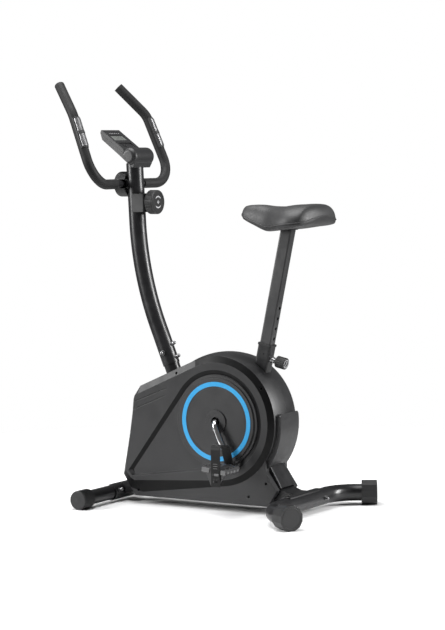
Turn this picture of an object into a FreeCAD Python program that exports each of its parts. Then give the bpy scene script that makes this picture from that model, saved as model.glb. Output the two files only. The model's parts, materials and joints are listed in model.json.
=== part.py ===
import FreeCAD, Part
import math
import os

# Upright exercise bike. Millimetres: X forward, Y to the rider's left, Z up, origin on the floor
# under the middle of the bike.

# Driving dimensions
CRANK_X = -59.0
CRANK_Z = 260.0
CRANK_LENGTH = 141.0
CRANK_ANGLE = 27.8              # left crank arm, back from straight down
ARM_Y = 92.0                    # plane of the crank arms
AXLE_R = 8.5

EDGE_Y = 61.0                   # half width of the housing at its outer edge
FACE_Y = 70.0                   # raised side face
RECESS_Y = 64.0                 # sunk field around the round cover
WALL = 3.0
SEAM = 0.2                      # half of the gap between the two shells
BASE_Z = 24.0
RING_R = 188.0
CROWN = 8.0

POST_R = 25.0
POST_TOP_Z = 1000.0
STUB_R = 22.9
BAR_R = 11.1
GRIP_R = 14.6
BAR_X = 289.5
BAR_Z = 940.0
TENSION_Z = 886.0

SEAT_LEAN = 12.5
SEAT_X = -190.6                 # seat post axis at height SEAT_Z
SEAT_Z = 481.5
SEAT_LONG = 37.0                # seat post section, fore and aft
SEAT_WIDE = 28.0
SLEEVE_LONG = 43.0
SLEEVE_WIDE = 33.0
HOLE_PITCH = 30.0
PIN_Z = 442.5

FRONT_X = 312.0
FRONT_Z = 28.0
FRONT_TUBE_R = 21.2
FRONT_WHEEL_R = 28.0
FRONT_HALF = 238.5

REAR_X = -300.0
REAR_Z = 35.0
REAR_TUBE_R = 24.5
REAR_FOOT_R = 35.0
REAR_STRAIGHT = 130.7
REAR_BEND_R = 105.0
REAR_BEND = 62.0
REAR_TAIL = 59.9

FLY_X = 130.0
FLY_Z = 190.0
FLY_R = 98.0
FLY_Y0 = 27.0
FLY_Y1 = 46.0
PULLEY_R = 95.0
SMALL_PULLEY_R = 15.0
BELT_Y0 = 48.0
BELT_Y1 = 56.0
BELT_THICK = 3.0
MAGNET_PIVOT = (50.0, 268.0)
RUN = 0.05                      # radial running clearance

X_AXIS = FreeCAD.Vector(1, 0, 0)
Y_AXIS = FreeCAD.Vector(0, 1, 0)
Z_AXIS = FreeCAD.Vector(0, 0, 1)


# General helpers

def vec(x, y, z):
    return FreeCAD.Vector(x, y, z)


def save(shape, node):
    shape.exportStep(os.path.join("parts", node + ".step"))


def box(x0, x1, y0, y1, z0, z1):
    return Part.makeBox(x1 - x0, y1 - y0, z1 - z0, vec(x0, y0, z0))


def rod(start, end, radius):
    """Round rod from one point to another."""
    return Part.makeCylinder(radius, (end - start).Length, start, end - start)


def disc_y(x, z, radius, y0, y1):
    """Round disc whose axis is parallel to Y."""
    return Part.makeCylinder(radius, y1 - y0, vec(x, y0, z), Y_AXIS)


def group(solids):
    return Part.makeCompound(solids)


def mirror_y(shape):
    return shape.mirror(vec(0, 0, 0), Y_AXIS)


def flat_wire(points, y):
    """Closed polygon in a plane of constant y, from (x, z) pairs."""
    loop = [vec(x, y, z) for x, z in points]
    return Part.makePolygon(loop + [loop[0]])


def prism(points, y0, y1):
    """Straight prism along Y over a polygon of (x, z) pairs."""
    return Part.Face(flat_wire(points, y0)).extrude(vec(0, y1 - y0, 0))


def rounded_path(points, radii):
    """Straight runs joined by tangent arcs, one radius for each inner point."""
    edges = []
    start = points[0]
    for corner, after, radius in zip(points[1:-1], points[2:], radii):
        u_in = (corner - start).normalize()
        u_out = (after - corner).normalize()
        half_turn = u_in.getAngle(u_out) / 2
        tangent = radius * math.tan(half_turn)
        arc_in = corner - u_in * tangent
        arc_out = corner + u_out * tangent
        inward = (u_out - u_in).normalize()
        middle = corner + inward * (radius / math.cos(half_turn) - radius)
        edges.append(Part.LineSegment(start, arc_in).toShape())
        edges.append(Part.Arc(arc_in, middle, arc_out).toShape())
        start = arc_out
    edges.append(Part.LineSegment(start, points[-1]).toShape())
    return Part.Wire(edges)


def swept(path, radius):
    """Round bar along a path."""
    first = path.Edges[0]
    begin = first.valueAt(first.FirstParameter)
    heading = first.tangentAt(first.FirstParameter)
    ring = Part.Wire(Part.makeCircle(radius, begin, heading))
    return path.makePipeShell([ring], True, True)


def hollow_tube(path, outer, inner):
    return swept(path, outer).cut(swept(path, inner))


def polar(radius, degrees):
    """Point at an angle about the crank axis, measured from +X towards +Z."""
    angle = math.radians(degrees)
    return CRANK_X + radius * math.cos(angle), CRANK_Z + radius * math.sin(angle)


def tangent_angle(point, radius, side):
    """Angle about the crank axis where a line from the point touches the circle."""
    dx = point[0] - CRANK_X
    dz = point[1] - CRANK_Z
    spread = math.degrees(math.acos(radius / math.hypot(dx, dz)))
    return math.degrees(math.atan2(dz, dx)) + side * spread


def loop_with_arc(points, radius, angle0, angle1, y):
    """Closed wire: an arc about the crank axis, then straight runs through the points."""
    ends = [polar(radius, a) for a in (angle0, (angle0 + angle1) / 2, angle1)]
    a, b, c = [vec(x, y, z) for x, z in ends]
    corners = [c] + [vec(x, y, z) for x, z in points] + [a]
    edges = [Part.Arc(a, b, c).toShape()]
    for p, q in zip(corners, corners[1:]):
        edges.append(Part.LineSegment(p, q).toShape())
    return Part.Wire(edges)


# Frames of the leaning parts

LEAN = math.radians(SEAT_LEAN)
SEAT_UP = vec(-math.sin(LEAN), 0, math.cos(LEAN))
SEAT_BACK = vec(-math.cos(LEAN), 0, -math.sin(LEAN))


def seat_axis(z):
    """Point of the seat post axis at a height."""
    return vec(SEAT_X - (z - SEAT_Z) * math.tan(LEAN), 0, z)


def leaning_box(base, length, long, wide, corner=0.0):
    """Bar along the seat axis with a rectangular section, its upright edges rounded."""
    bar = Part.makeBox(long, wide, length, vec(-long / 2, -wide / 2, 0))
    if corner:
        upright = [e for e in bar.Edges if abs(e.tangentAt(e.FirstParameter).z) > 0.9]
        bar = bar.makeFillet(corner, upright)
    bar.rotate(vec(0, 0, 0), Y_AXIS, -SEAT_LEAN)
    bar.translate(base)
    return bar


CRANK_RAD = math.radians(CRANK_ANGLE)
CRANK_DOWN = vec(-math.sin(CRANK_RAD), 0, -math.cos(CRANK_RAD))
CRANK_CENTRE = vec(CRANK_X, 0, CRANK_Z)
LEFT_PEDAL_AXIS = CRANK_CENTRE + CRANK_DOWN * CRANK_LENGTH
RIGHT_PEDAL_AXIS = CRANK_CENTRE - CRANK_DOWN * CRANK_LENGTH

POST_POINTS = [vec(129, 0, 395), vec(172, 0, 502), vec(228, 0, 678), vec(247, 0, 822)]
POST_HEAD = vec(255, 0, POST_TOP_Z)
JOINT_Z = 411.0
BOLT_Z = (425.0, 462.0)
SIDE_BOLT_Z = 446.0
REARWARD = vec(-0.925, 0, 0.38)
STUB_SLOPE = (POST_POINTS[1] - POST_POINTS[0]).normalize()


def post_point(z):
    """Point of the lower, straight stretch of the post axis at a height."""
    return POST_POINTS[1] - STUB_SLOPE * ((POST_POINTS[1].z - z) / STUB_SLOPE.z)


FRONT_BOLT_OUT = vec(-math.cos(math.radians(18)), 0, math.sin(math.radians(18)))


# Frame

def main_beam():
    """Square tube on the floor side of the housing, with the flywheel's upright plate."""
    beam = box(-215, 262, -28, 28, 27, 62).cut(box(-216, 263, -25, 25, 30, 59))
    plate = prism([(95, 62), (165, 62), (145, 212), (115, 212)], 14, 20)
    plate = plate.cut(disc_y(FLY_X, FLY_Z, 7, 10, 30))
    return beam.fuse(plate).removeSplitter()


def front_bracket():
    """Curved plate that hugs the rear half of the front stabilizer."""
    plate = disc_y(FRONT_X, FRONT_Z, FRONT_TUBE_R + 3.2, -75, 75)
    plate = plate.cut(disc_y(FRONT_X, FRONT_Z, FRONT_TUBE_R, -76, 76))
    plate = plate.common(box(FRONT_X - 40, FRONT_X + 2, -80, 80, 5, 60))
    neck = prism([(262, 28), (262, 70), (280, 62), (FRONT_X - 12, 52), (FRONT_X - 12, 20)], -30, 30)
    neck = neck.cut(disc_y(FRONT_X, FRONT_Z, FRONT_TUBE_R + 3.2, -76, 76))
    shape = plate.fuse(neck).removeSplitter()
    return front_bolt_holes(shape)


def front_bolt_holes(shape):
    """Cut the two clamping bolt holes through one wall of the front stabilizer or its bracket."""
    for y in (-55, 55):
        middle = vec(FRONT_X, y, FRONT_Z)
        shape = shape.cut(rod(middle, middle + FRONT_BOLT_OUT * 40, 4.2))
    return shape


LEG_UP = vec(math.cos(math.radians(59.7)), 0, math.sin(math.radians(59.7)))
LEG_FOOT = vec(-236.7, 0, 67.4)


def rear_leg():
    """Flat box tube that leans down and back out of the housing."""
    length = 92.0
    bar = Part.makeBox(length, 80, 40, vec(0, -40, -20))
    bar = bar.makeFillet(4, [e for e in bar.Edges if abs(e.tangentAt(e.FirstParameter).x) > 0.9])
    core = Part.makeBox(length - 6, 74, 34, vec(6, -37, -17))
    bar = bar.cut(core)
    bar.rotate(vec(0, 0, 0), Y_AXIS, -59.7)
    bar.translate(LEG_FOOT)
    return bar


def rear_bracket():
    """Welded cradle between the leg and the rear stabilizer."""
    saddle = disc_y(REAR_X, REAR_Z, REAR_TUBE_R + 3.5, -88, 88)
    saddle = saddle.cut(disc_y(REAR_X, REAR_Z, REAR_TUBE_R, -89, 89))
    saddle = saddle.common(box(REAR_X - 12, REAR_X + 40, -90, 90, REAR_Z - 8, REAR_Z + 40))
    foot = [(-251, 73), (-229, 62), (-219, 50), (-258, 27), (-300, 27), (-300, 62), (-276, 63)]
    block = prism(foot, -38, 38)
    block = block.cut(disc_y(REAR_X, REAR_Z, REAR_TUBE_R + 3.4, -90, 90))
    shape = saddle.fuse(block).removeSplitter()
    return shape.cut(rear_leg())


def seat_tube():
    """Rectangular tube from the main beam up to the seat clamp."""
    base = seat_axis(64)
    length = (seat_axis(478) - base).Length
    tube = leaning_box(base, length, SLEEVE_LONG, SLEEVE_WIDE, 6)
    tube = tube.cut(leaning_box(seat_axis(70), length, SLEEVE_LONG - 4, SLEEVE_WIDE - 3, 4))
    trim = box(-200, 0, -40, 40, 40, 62.2)
    tube = tube.cut(trim)
    pin_at = seat_axis(PIN_Z)
    tube = tube.cut(rod(pin_at, pin_at + SEAT_BACK * 40, 7.0))
    screw = disc_y(seat_axis(452).x - 4, 455, 2.5, 10, 20)
    return tube.cut(screw)


def seat_tube_bush():
    """Plastic liner in the mouth of the seat tube, with a lip on top."""
    base = seat_axis(418)
    length = (seat_axis(478) - base).Length
    liner = leaning_box(base, length, SLEEVE_LONG - 4, SLEEVE_WIDE - 3, 4)
    lip = leaning_box(seat_axis(478), 6, SLEEVE_LONG + 3, SLEEVE_WIDE + 3, 6)
    bore = leaning_box(seat_axis(400), 120, SEAT_LONG + 2 * RUN, SEAT_WIDE + 2 * RUN, 4)
    bush = liner.fuse(lip).removeSplitter().cut(bore)
    pin_at = seat_axis(PIN_Z)
    return bush.cut(rod(pin_at, pin_at + SEAT_BACK * 30, 7.0))


def bolt_holes(tube):
    """Cut the three clamping bolt holes through one wall of the post and its stub."""
    for z in BOLT_Z:
        centre = post_point(z)
        tube = tube.cut(rod(centre, centre + REARWARD * 40, 4.2))
    side = post_point(SIDE_BOLT_Z)
    return tube.cut(rod(side, side + Y_AXIS * 40, 4.2))


def post_stub():
    """Round tube welded to the main beam that carries the post, with the magnet arm's pin."""
    foot = post_point(62.0)
    top = post_point(JOINT_Z + 85)
    pin_x, pin_z = MAGNET_PIVOT
    tube = rod(foot - STUB_SLOPE * 20, top, STUB_R)
    tube = tube.fuse([disc_y(pin_x, pin_z, 10, 0, FLY_Y0 - 1.3), disc_y(pin_x, pin_z, 4, 0, FLY_Y1 + 2)])
    tube = tube.cut(rod(foot - STUB_SLOPE * 30, top + STUB_SLOPE * 5, STUB_R - 2.5))
    tube = tube.cut(box(-120, 80, -60, 60, 0, 62))
    return bolt_holes(tube)


def crank_shell():
    """Bearing tube of the crank with its web to the seat tube."""
    tube = disc_y(CRANK_X, CRANK_Z, 21, -34, 34)
    rear = seat_axis(CRANK_Z).x + 22.5
    web = prism([(CRANK_X, CRANK_Z + 18), (rear - 4, CRANK_Z + 30), (rear + 14, CRANK_Z - 50),
                 (CRANK_X, CRANK_Z - 18)], -12, 12)
    web = web.cut(leaning_box(seat_axis(64), 500, SLEEVE_LONG, SLEEVE_WIDE, 6))
    shape = tube.fuse(web).removeSplitter()
    return shape.cut(disc_y(CRANK_X, CRANK_Z, 16, -40, 40))


def crank_bearings():
    races = []
    for y0, y1 in ((22, 34), (-34, -22)):
        ring = disc_y(CRANK_X, CRANK_Z, 16, y0, y1)
        races.append(ring.cut(disc_y(CRANK_X, CRANK_Z, AXLE_R + RUN, y0 - 1, y1 + 1)))
    return group(races)


# Housing

FRONT_LOW = (270.0, 86.0)
FRONT_MID = (232.5, 271.0)
FRONT_HIGH = (228.2, 318.9)
FRONT_TOP = (206.0, 350.0)
REAR_LOW = [(-216.6, 120.5), (-251.0, 71.2), (-222.0, BASE_Z)]


def top_tangent(radius, point):
    return tangent_angle(point, radius, 1)


def housing_outline(y):
    """Side outline of one shell: a big circle about the crank and a long straight nose."""
    points = REAR_LOW + [(230.6, BASE_Z), FRONT_LOW, FRONT_MID, FRONT_HIGH, FRONT_TOP]
    return loop_with_arc(points, RING_R, top_tangent(RING_R, FRONT_TOP), 213, y)


def raised_field(grow=0.0):
    """Raised side face, bevelled down to the outer edge all round."""
    low_outer = (203.0, 36.5)
    outer = loop_with_arc([low_outer, (245.5, 47.4), FRONT_LOW, FRONT_MID, FRONT_HIGH, FRONT_TOP],
                          RING_R, top_tangent(RING_R, FRONT_TOP),
                          360 + tangent_angle(low_outer, RING_R, -1), EDGE_Y)
    top_inner = (211.5, 326.8)
    low_inner = (226.0, 70.7)
    inner = loop_with_arc([low_inner, (240.0, 78.0), (257.0, 98.0), (229.5, 270.0), (225.0, 310.0),
                           top_inner],
                          170.0, top_tangent(170.0, top_inner),
                          360 + tangent_angle(low_inner, 170.0, -1), FACE_Y + grow)
    return Part.makeLoft([outer, inner], True, True)


def recess_field():
    """Sunk field in front of and around the round cover."""
    far = (247.0, 99.5)
    near = (234.5, 82.8)
    outer = loop_with_arc([near, far], 148.5, tangent_angle(far, 148.5, 1), 285, FACE_Y)
    far_in = (232.0, 102.0)
    near_in = (228.0, 86.5)
    inner = loop_with_arc([near_in, far_in], 136.0, tangent_angle(far_in, 136.0, 1), 280, RECESS_Y)
    far_up = (249.0, 100.5)
    near_up = (235.5, 82.0)
    above = loop_with_arc([near_up, far_up], 150.6, tangent_angle(far_up, 150.6, 1), 286, FACE_Y + 1)
    return Part.makeLoft([inner, outer], True, True), Part.makeLoft([outer, above], True, True)


def crowned_drum():
    """Drum about the crank whose rim bulges towards the middle of the bike."""
    rim = RING_R + CROWN
    profile = [vec(0, 0, 0), vec(rim, 0, 0), vec(RING_R, EDGE_Y, 0), vec(0, EDGE_Y, 0)]
    middle = vec(RING_R + CROWN * 0.75, EDGE_Y / 2, 0)
    edges = [Part.LineSegment(profile[0], profile[1]).toShape(),
             Part.Arc(profile[1], middle, profile[2]).toShape(),
             Part.LineSegment(profile[2], profile[3]).toShape(),
             Part.LineSegment(profile[3], profile[0]).toShape()]
    drum = Part.Face(Part.Wire(edges)).revolve(vec(0, 0, 0), Y_AXIS, 360)
    drum.translate(vec(CRANK_X, 0, CRANK_Z))
    return drum


SIDE_HOLES = [(76.4, 393.4), (217.0, 41.5), (-217.0, 89.7), (-159.4, 48.6), (-206.5, 361.2)]


def tube_openings():
    """Clearances in the shells for the post stub, seat tube, leg, beam and front bracket."""
    stub = rod(post_point(300), post_point(480), STUB_R + 1.0)
    seat = leaning_box(seat_axis(300), 220, SLEEVE_LONG + 2, SLEEVE_WIDE + 2, 6)
    leg = Part.makeBox(160, 84, 44, vec(-60, -42, -22))
    leg.rotate(vec(0, 0, 0), Y_AXIS, -59.7)
    leg.translate(LEG_FOOT)
    tail = box(-260, -180, -42, 42, 20, 75)
    nose = box(200, 300, -31, 31, 20, 72)
    return stub.fuse([seat, leg, tail, nose])


def side_shell():
    """Left shell: crowned rim, bevelled face, sunk field, hollow inside and open below."""
    half = Part.Face(housing_outline(SEAM)).extrude(vec(0, EDGE_Y - SEAM, 0))
    solid = half.fuse([crowned_drum(), raised_field()])
    solid = solid.cut(box(-400, 400, -200, SEAM, 0, 600))
    cavity_wire = housing_outline(-1).makeOffset2D(-WALL, 2)
    cavity = Part.Face(cavity_wire).extrude(vec(0, EDGE_Y - WALL + 1, 0))
    base_open = box(-214, 222, -1, EDGE_Y - WALL, BASE_Z - 5, BASE_Z + 10)
    sunk, clear = recess_field()
    solid = solid.cut(cavity.fuse(base_open))
    solid = solid.cut(sunk).cut(clear)
    solid = solid.cut(tube_openings())
    solid = solid.cut(disc_y(CRANK_X, CRANK_Z, 110.0, 50, 80))
    for x, z in SIDE_HOLES:
        solid = solid.cut(disc_y(x, z, 4.0, EDGE_Y - 9, 80))
    for x0, z0, x1, z1 in ((203.0, 311.5, 111.2, 347.8), (219.0, 283.5, 114.3, 327.1)):
        solid = solid.cut(face_groove(x0, z0, x1, z1))
    return solid.removeSplitter()


def face_groove(x0, z0, x1, z1):
    """Shallow slot across the side face and round the front edge."""
    length = math.hypot(x1 - x0, z1 - z0) + 16
    slot = Part.makeBox(length, 3, 3.0, vec(0, FACE_Y - 1.2, -1.5))
    slot.rotate(vec(0, 0, 0), Y_AXIS, -math.degrees(math.atan2(z0 - z1, x0 - x1)))
    slot.translate(vec(x1, 0, z1))
    return slot


def round_cover():
    """Stepped round cover over the crank opening of the left shell."""
    cover = disc_y(CRANK_X, CRANK_Z, 134.0, RECESS_Y, RECESS_Y + 3.5)
    cover = cover.fuse([disc_y(CRANK_X, CRANK_Z, 124.5, RECESS_Y, 71.0),
                        disc_y(CRANK_X, CRANK_Z, 109.0, 58.5, 71.0)]).removeSplitter()
    cover = cover.cut(disc_y(CRANK_X, CRANK_Z, 105.0, 57, 68.0))
    cover = cover.cut(ring_shape(0.0, 70.2, 72.0))
    return cover.cut(disc_y(CRANK_X, CRANK_Z, 29.0, 60, 80))


def ring_shape(slack, y0, y1):
    ring = disc_y(CRANK_X, CRANK_Z, 114.5 - slack, y0, y1)
    return ring.cut(disc_y(CRANK_X, CRANK_Z, 101.5 + slack, y0 - 1, y1 + 1))


def hub_cap():
    """Small raised cap with the hole that the crank comes out of."""
    cap = disc_y(CRANK_X, CRANK_Z, 33.0, 71.0, 74.5)
    cap = cap.fuse(disc_y(CRANK_X, CRANK_Z, 29.0, 66.0, 72.0)).removeSplitter()
    return cap.cut(disc_y(CRANK_X, CRANK_Z, 13.5, 60, 80))


COVER_HALF = 51.0
COVER_R = 204.0
COVER_TOP = 171.6
COVER_END = 221.5


def sector(radius0, radius1, angle0, angle1, half):
    """Slice of a thick ring about the crank axis."""
    slab = disc_y(CRANK_X, CRANK_Z, radius1, -half, half)
    slab = slab.cut(disc_y(CRANK_X, CRANK_Z, radius0, -half - 1, half + 1))
    middle = (angle0 + angle1) / 2
    reach = 2 * radius1
    wedge = [(CRANK_X, CRANK_Z), polar(reach, angle0), polar(reach, middle), polar(reach, angle1)]
    return slab.common(prism(wedge, -half - 2, half + 2))


def rear_cover():
    """Box-shaped cover panel screwed to the back of the housing, above the leg."""
    cover = sector(RING_R - 1, COVER_R, COVER_TOP, COVER_END, COVER_HALF)
    body = cover.cut(crowned_drum()).cut(mirror_y(crowned_drum()))
    body = body.cut(Part.Face(housing_outline(-EDGE_Y)).extrude(vec(0, 2 * EDGE_Y, 0)))
    upper = [e for e in body.Edges if abs(e.CenterOfMass.y) > COVER_HALF - 1 and e.Length < 25
             and e.CenterOfMass.z > CRANK_Z]
    body = body.makeFillet(9, upper) if upper else body
    hollow = sector(RING_R - 4, COVER_R - 3, COVER_TOP + 1, COVER_END - 1, COVER_HALF - 3)
    body = body.cut(hollow.common(box(-400, 0, -100, 100, 60, 286)))
    return body.cut(tube_openings())


def shell_screws():
    screws = []
    for side in (1, -1):
        for x, z in SIDE_HOLES:
            head = disc_y(x, z, 3.6, EDGE_Y - 7, EDGE_Y - 4.5)
            shank = disc_y(x, z, 1.8, EDGE_Y - 20, EDGE_Y - 7)
            screw = head.fuse(shank).removeSplitter()
            screws.append(screw if side == 1 else mirror_y(screw))
    return group(screws)


# Stabilizers

def front_stabilizer():
    tube = disc_y(FRONT_X, FRONT_Z, FRONT_TUBE_R, -FRONT_HALF + 6, FRONT_HALF - 6)
    tube = tube.cut(disc_y(FRONT_X, FRONT_Z, FRONT_TUBE_R - 2, -FRONT_HALF, FRONT_HALF))
    return front_bolt_holes(tube)


def front_wheel():
    """Round ribbed end cap that turns on the left end of the front stabilizer."""
    wheel = disc_y(FRONT_X, FRONT_Z, FRONT_WHEEL_R, FRONT_HALF - 50, FRONT_HALF)
    rim = [e for e in wheel.Edges if e.Length > 100]
    wheel = wheel.makeChamfer(1.5, rim)
    return wheel.cut(disc_y(FRONT_X, FRONT_Z, FRONT_TUBE_R + RUN, 0, FRONT_HALF - 5.5))


def rear_path(tail):
    """Centre line of the rear stabilizer; the ends sweep back."""
    angle = math.radians(REAR_BEND)
    corner = REAR_STRAIGHT + REAR_BEND_R * math.tan(angle / 2)
    run = REAR_BEND_R * math.tan(angle / 2) + tail
    end = vec(REAR_X - run * math.sin(angle), corner + run * math.cos(angle), REAR_Z)
    left = vec(REAR_X, corner, REAR_Z)
    right = vec(left.x, -left.y, left.z)
    far = vec(end.x, -end.y, end.z)
    return [far, right, left, end], rounded_path([far, right, left, end], [REAR_BEND_R] * 2)


def rear_stabilizer():
    tube = hollow_tube(rear_path(REAR_TAIL - 6)[1], REAR_TUBE_R, REAR_TUBE_R - 2)
    for y in (-92, 92):
        tube = tube.cut(rod(vec(REAR_X, y, REAR_Z), vec(REAR_X - 40, y, REAR_Z), 4.2))
    return tube


def rear_foot():
    """Twelve-sided end cap that levels the bike when it is turned."""
    points = rear_path(REAR_TAIL)[0]
    inward = (points[2] - points[3]).normalize()
    face = points[3]
    corner_r = REAR_FOOT_R / math.cos(math.radians(15))
    profile = []
    for k in range(12):
        angle = math.radians(15 + 30 * k)
        profile.append(vec(0, corner_r * math.cos(angle), corner_r * math.sin(angle)))
    cap = Part.Face(Part.makePolygon(profile + [profile[0]])).extrude(vec(-45, 0, 0))
    turn = math.degrees(math.atan2(-inward.y, -inward.x))
    cap.rotate(vec(0, 0, 0), Z_AXIS, turn)
    cap.translate(face)
    bore = rod(face + inward * 5.5, face + inward * 60, REAR_TUBE_R + RUN)
    return cap.cut(bore)


def dome_bolt(seat, outward, radius=5.5):
    """Bolt with a domed nut: washer, cap and shank, seated on a surface point."""
    washer = rod(seat, seat + outward * 1.6, radius * 1.5)
    body = rod(seat + outward * 1.6, seat + outward * 7.5, radius)
    dome = Part.makeSphere(radius, seat + outward * 7.5)
    shank = rod(seat - outward * 9, seat, 3.9)
    return washer.fuse([body, dome, shank]).removeSplitter()


def stabilizer_bolts():
    bolts = []
    for y in (-55, 55):
        seat = vec(FRONT_X, y, FRONT_Z) + FRONT_BOLT_OUT * (FRONT_TUBE_R + 3.4)
        bolts.append(dome_bolt(seat, FRONT_BOLT_OUT))
    back = vec(-1, 0, 0)
    for y in (-92, 92):
        bolts.append(dome_bolt(vec(REAR_X - REAR_TUBE_R - 0.2, y, REAR_Z), back, 4.5))
    return group(bolts)


# Handlebar post

def post_path(low_z):
    start = post_point(low_z)
    lower = Part.LineSegment(start, POST_POINTS[1]).toShape()
    bend = Part.Arc(POST_POINTS[1], POST_POINTS[2], POST_POINTS[3]).toShape()
    upper = Part.LineSegment(POST_POINTS[3], POST_HEAD).toShape()
    return Part.Wire([lower, bend, upper])


def post():
    """Curved round tube from the stub up to the console."""
    tube = hollow_tube(post_path(JOINT_Z), POST_R, STUB_R + 0.02)
    shaft = vec(200, 0, TENSION_Z)
    return bolt_holes(tube).cut(rod(shaft, shaft + X_AXIS * 35, 5.0))


def post_bolts():
    bolts = []
    for z in BOLT_Z:
        bolts.append(dome_bolt(post_point(z) + REARWARD * (POST_R + 0.1), REARWARD))
    bolts.append(dome_bolt(post_point(SIDE_BOLT_Z) + Y_AXIS * (POST_R + 0.1), Y_AXIS, 5.0))
    return group(bolts)


def handlebar_bracket():
    """Half seat welded to the front of the post that carries the handlebar."""
    block = box(262, BAR_X, -18, 18, BAR_Z - 18, BAR_Z + 18)
    block = block.cut(swept(post_path(JOINT_Z), POST_R))
    return block.cut(disc_y(BAR_X, BAR_Z, BAR_R + RUN, -30, 30))


def clamp_cover():
    """Round domed cover over the handlebar clamp."""
    drum = Part.makeCylinder(37.0, 39.5, vec(269, 0, BAR_Z - 1), X_AXIS)
    rim = [e for e in drum.Edges if abs(e.CenterOfMass.x - 308.5) < 0.1 and e.Length > 100]
    drum = drum.makeFillet(8, rim)
    drum = drum.cut(Part.makeCylinder(34.0, 34, vec(271.5, 0, BAR_Z - 1), X_AXIS))
    drum = drum.cut(swept(post_path(JOINT_Z), POST_R + 0.3))
    slot = box(250, BAR_X, -60, 60, BAR_Z - BAR_R - 1.8, BAR_Z + BAR_R + 1.8)
    bracket = box(250, BAR_X, -18.3, 18.3, BAR_Z - 18.3, BAR_Z + 18.3)
    return drum.cut(slot).cut(bracket).cut(disc_y(BAR_X, BAR_Z, BAR_R + 0.4, -60, 60))


def clamp_cap():
    """Front half of the clamp under the cover, with its bolt."""
    block = box(BAR_X, BAR_X + 14.5, -18, 18, BAR_Z - 18, BAR_Z + 18)
    return block.cut(disc_y(BAR_X, BAR_Z, BAR_R + RUN, -30, 30))


# Handlebar

BAR_CORNERS = [vec(255, 206, BAR_Z), vec(338, 191, 1143), vec(412.5, 151.5, 1229)]
BAR_BEND_R = [70.0, 80.0]
GRIP_START_Y = 73.0


def side_points(start, end_trim):
    low, high, tip = BAR_CORNERS
    trimmed = tip - (tip - high).normalize() * end_trim
    return [start, low, high, trimmed]


def bar_at(y):
    """Point of the straight cross bar at a distance from the middle."""
    low = BAR_CORNERS[0]
    share = y / low.y
    return vec(BAR_X + (low.x - BAR_X) * share, y, BAR_Z)


def handlebar():
    """Bent tube; its short middle piece is straight through the clamp."""
    half = rounded_path(side_points(bar_at(30.0), 5.0), BAR_BEND_R)
    bore = swept(half, BAR_R - 2.0)
    side = swept(half, BAR_R).cut(bore)
    knee = Part.makeSphere(BAR_R, bar_at(30.0))
    middle = disc_y(BAR_X, BAR_Z, BAR_R, -32, 32).fuse([knee, mirror_y(knee)])
    middle = middle.cut(bore).cut(mirror_y(bore)).cut(disc_y(BAR_X, BAR_Z, BAR_R - 2, -30, 30))
    return middle.fuse([side, mirror_y(side)]).removeSplitter()


def grip():
    """Foam sleeve over the left side of the handlebar, closed at the tip."""
    path = rounded_path(side_points(bar_at(GRIP_START_Y), 0.0), BAR_BEND_R)
    core = rounded_path(side_points(bar_at(GRIP_START_Y - 3), 4.9), BAR_BEND_R)
    return swept(path, GRIP_R).cut(swept(core, BAR_R)).cut(swept(core, BAR_R - 0.05))


def upright_direction():
    low, high, _ = BAR_CORNERS
    return (high - low).normalize()


def bar_upright(z):
    """Point of the left upright stretch of the handlebar at a height."""
    low = BAR_CORNERS[0]
    along = upright_direction()
    return low + along * ((z - low.z) / along.z)


SENSOR_SIDE = vec(-0.97, 0.24, 0)


def sensor_part(z0, z1, depth0, depth1, half):
    """Curved strip that hugs the rear of the left grip."""
    along = upright_direction()
    inward = (SENSOR_SIDE - along * SENSOR_SIDE.dot(along)).normalize()
    sideways = along.cross(inward)
    base = bar_upright(z0)
    length = (bar_upright(z1) - base).Length
    ring = rod(base, base + along * length, GRIP_R + depth1)
    ring = ring.cut(rod(base - along, base + along * (length + 1), GRIP_R + depth0))
    corner = base - sideways * half
    sheet = Part.makePolygon([corner, corner + sideways * 2 * half,
                              corner + sideways * 2 * half + inward * 30,
                              corner + inward * 30, corner])
    return ring.common(Part.Face(sheet).extrude(along * length))


def pulse_plates():
    plates = []
    for z0, z1 in ((1048, 1082), (1092, 1127)):
        plate = sensor_part(z0, z1, 1.6, 3.0, 11.0)
        plates.extend([plate, mirror_y(plate)])
    return group(plates)


def pulse_bases():
    base = sensor_part(1044, 1131, 0.0, 1.6, 14.0)
    bridge = sensor_part(1083, 1091, 1.6, 3.6, 12.0)
    solid = base.fuse(bridge).removeSplitter()
    return group([solid, mirror_y(solid)])


# Console

DISPLAY_HIGH = (342.0, 1097.0)
DISPLAY_LOW = (262.0, 1041.0)


def console_back():
    """Lower shell of the console, which sits on top of the post."""
    profile = [(344, 1090), (338, 1070), (279, 1025), (232, 987), (224, 1001), (262, 1030)]
    shell = prism(profile, -46, 46).cut(swept(post_path(JOINT_Z), POST_R + 0.1))
    neck = Part.makeCylinder(STUB_R - 0.3, 34, vec(253.9, 0, 975), vec(0.045, 0, 1))
    return shell.fuse(neck).removeSplitter()


def console_front():
    """Upper shell with the sloping display and the round lower lobe."""
    slope = [(344, 1090), DISPLAY_HIGH, (340, 1098.5), DISPLAY_LOW, (262, 1030)]
    deck = prism(slope, -46, 46)
    centre = (243.0, 1019.5)
    lobe = Part.makeCylinder(26.5, 108, vec(centre[0], -54, centre[1]), Y_AXIS)
    rims = [e for e in lobe.Edges if e.Length > 100]
    lobe = lobe.makeFillet(13, rims)
    keep = prism([(262, 1030), (300, 1060), (300, 1100), (180, 1100), (180, 960), (222, 984.5),
                  (232, 987)], -60, 60)
    lobe = lobe.common(keep)
    solid = deck.fuse(lobe).removeSplitter()
    solid = solid.cut(console_window(68.0, 26.0, 3.0, 310.0, 1.5))
    solid = solid.cut(console_window(64.0, 22.0, 3.0, 281.0, 0.0))
    solid = solid.cut(console_back()).cut(swept(post_path(JOINT_Z), POST_R + 0.1))
    return solid.cut(button_shape(5.3, -12, 6))


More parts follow.
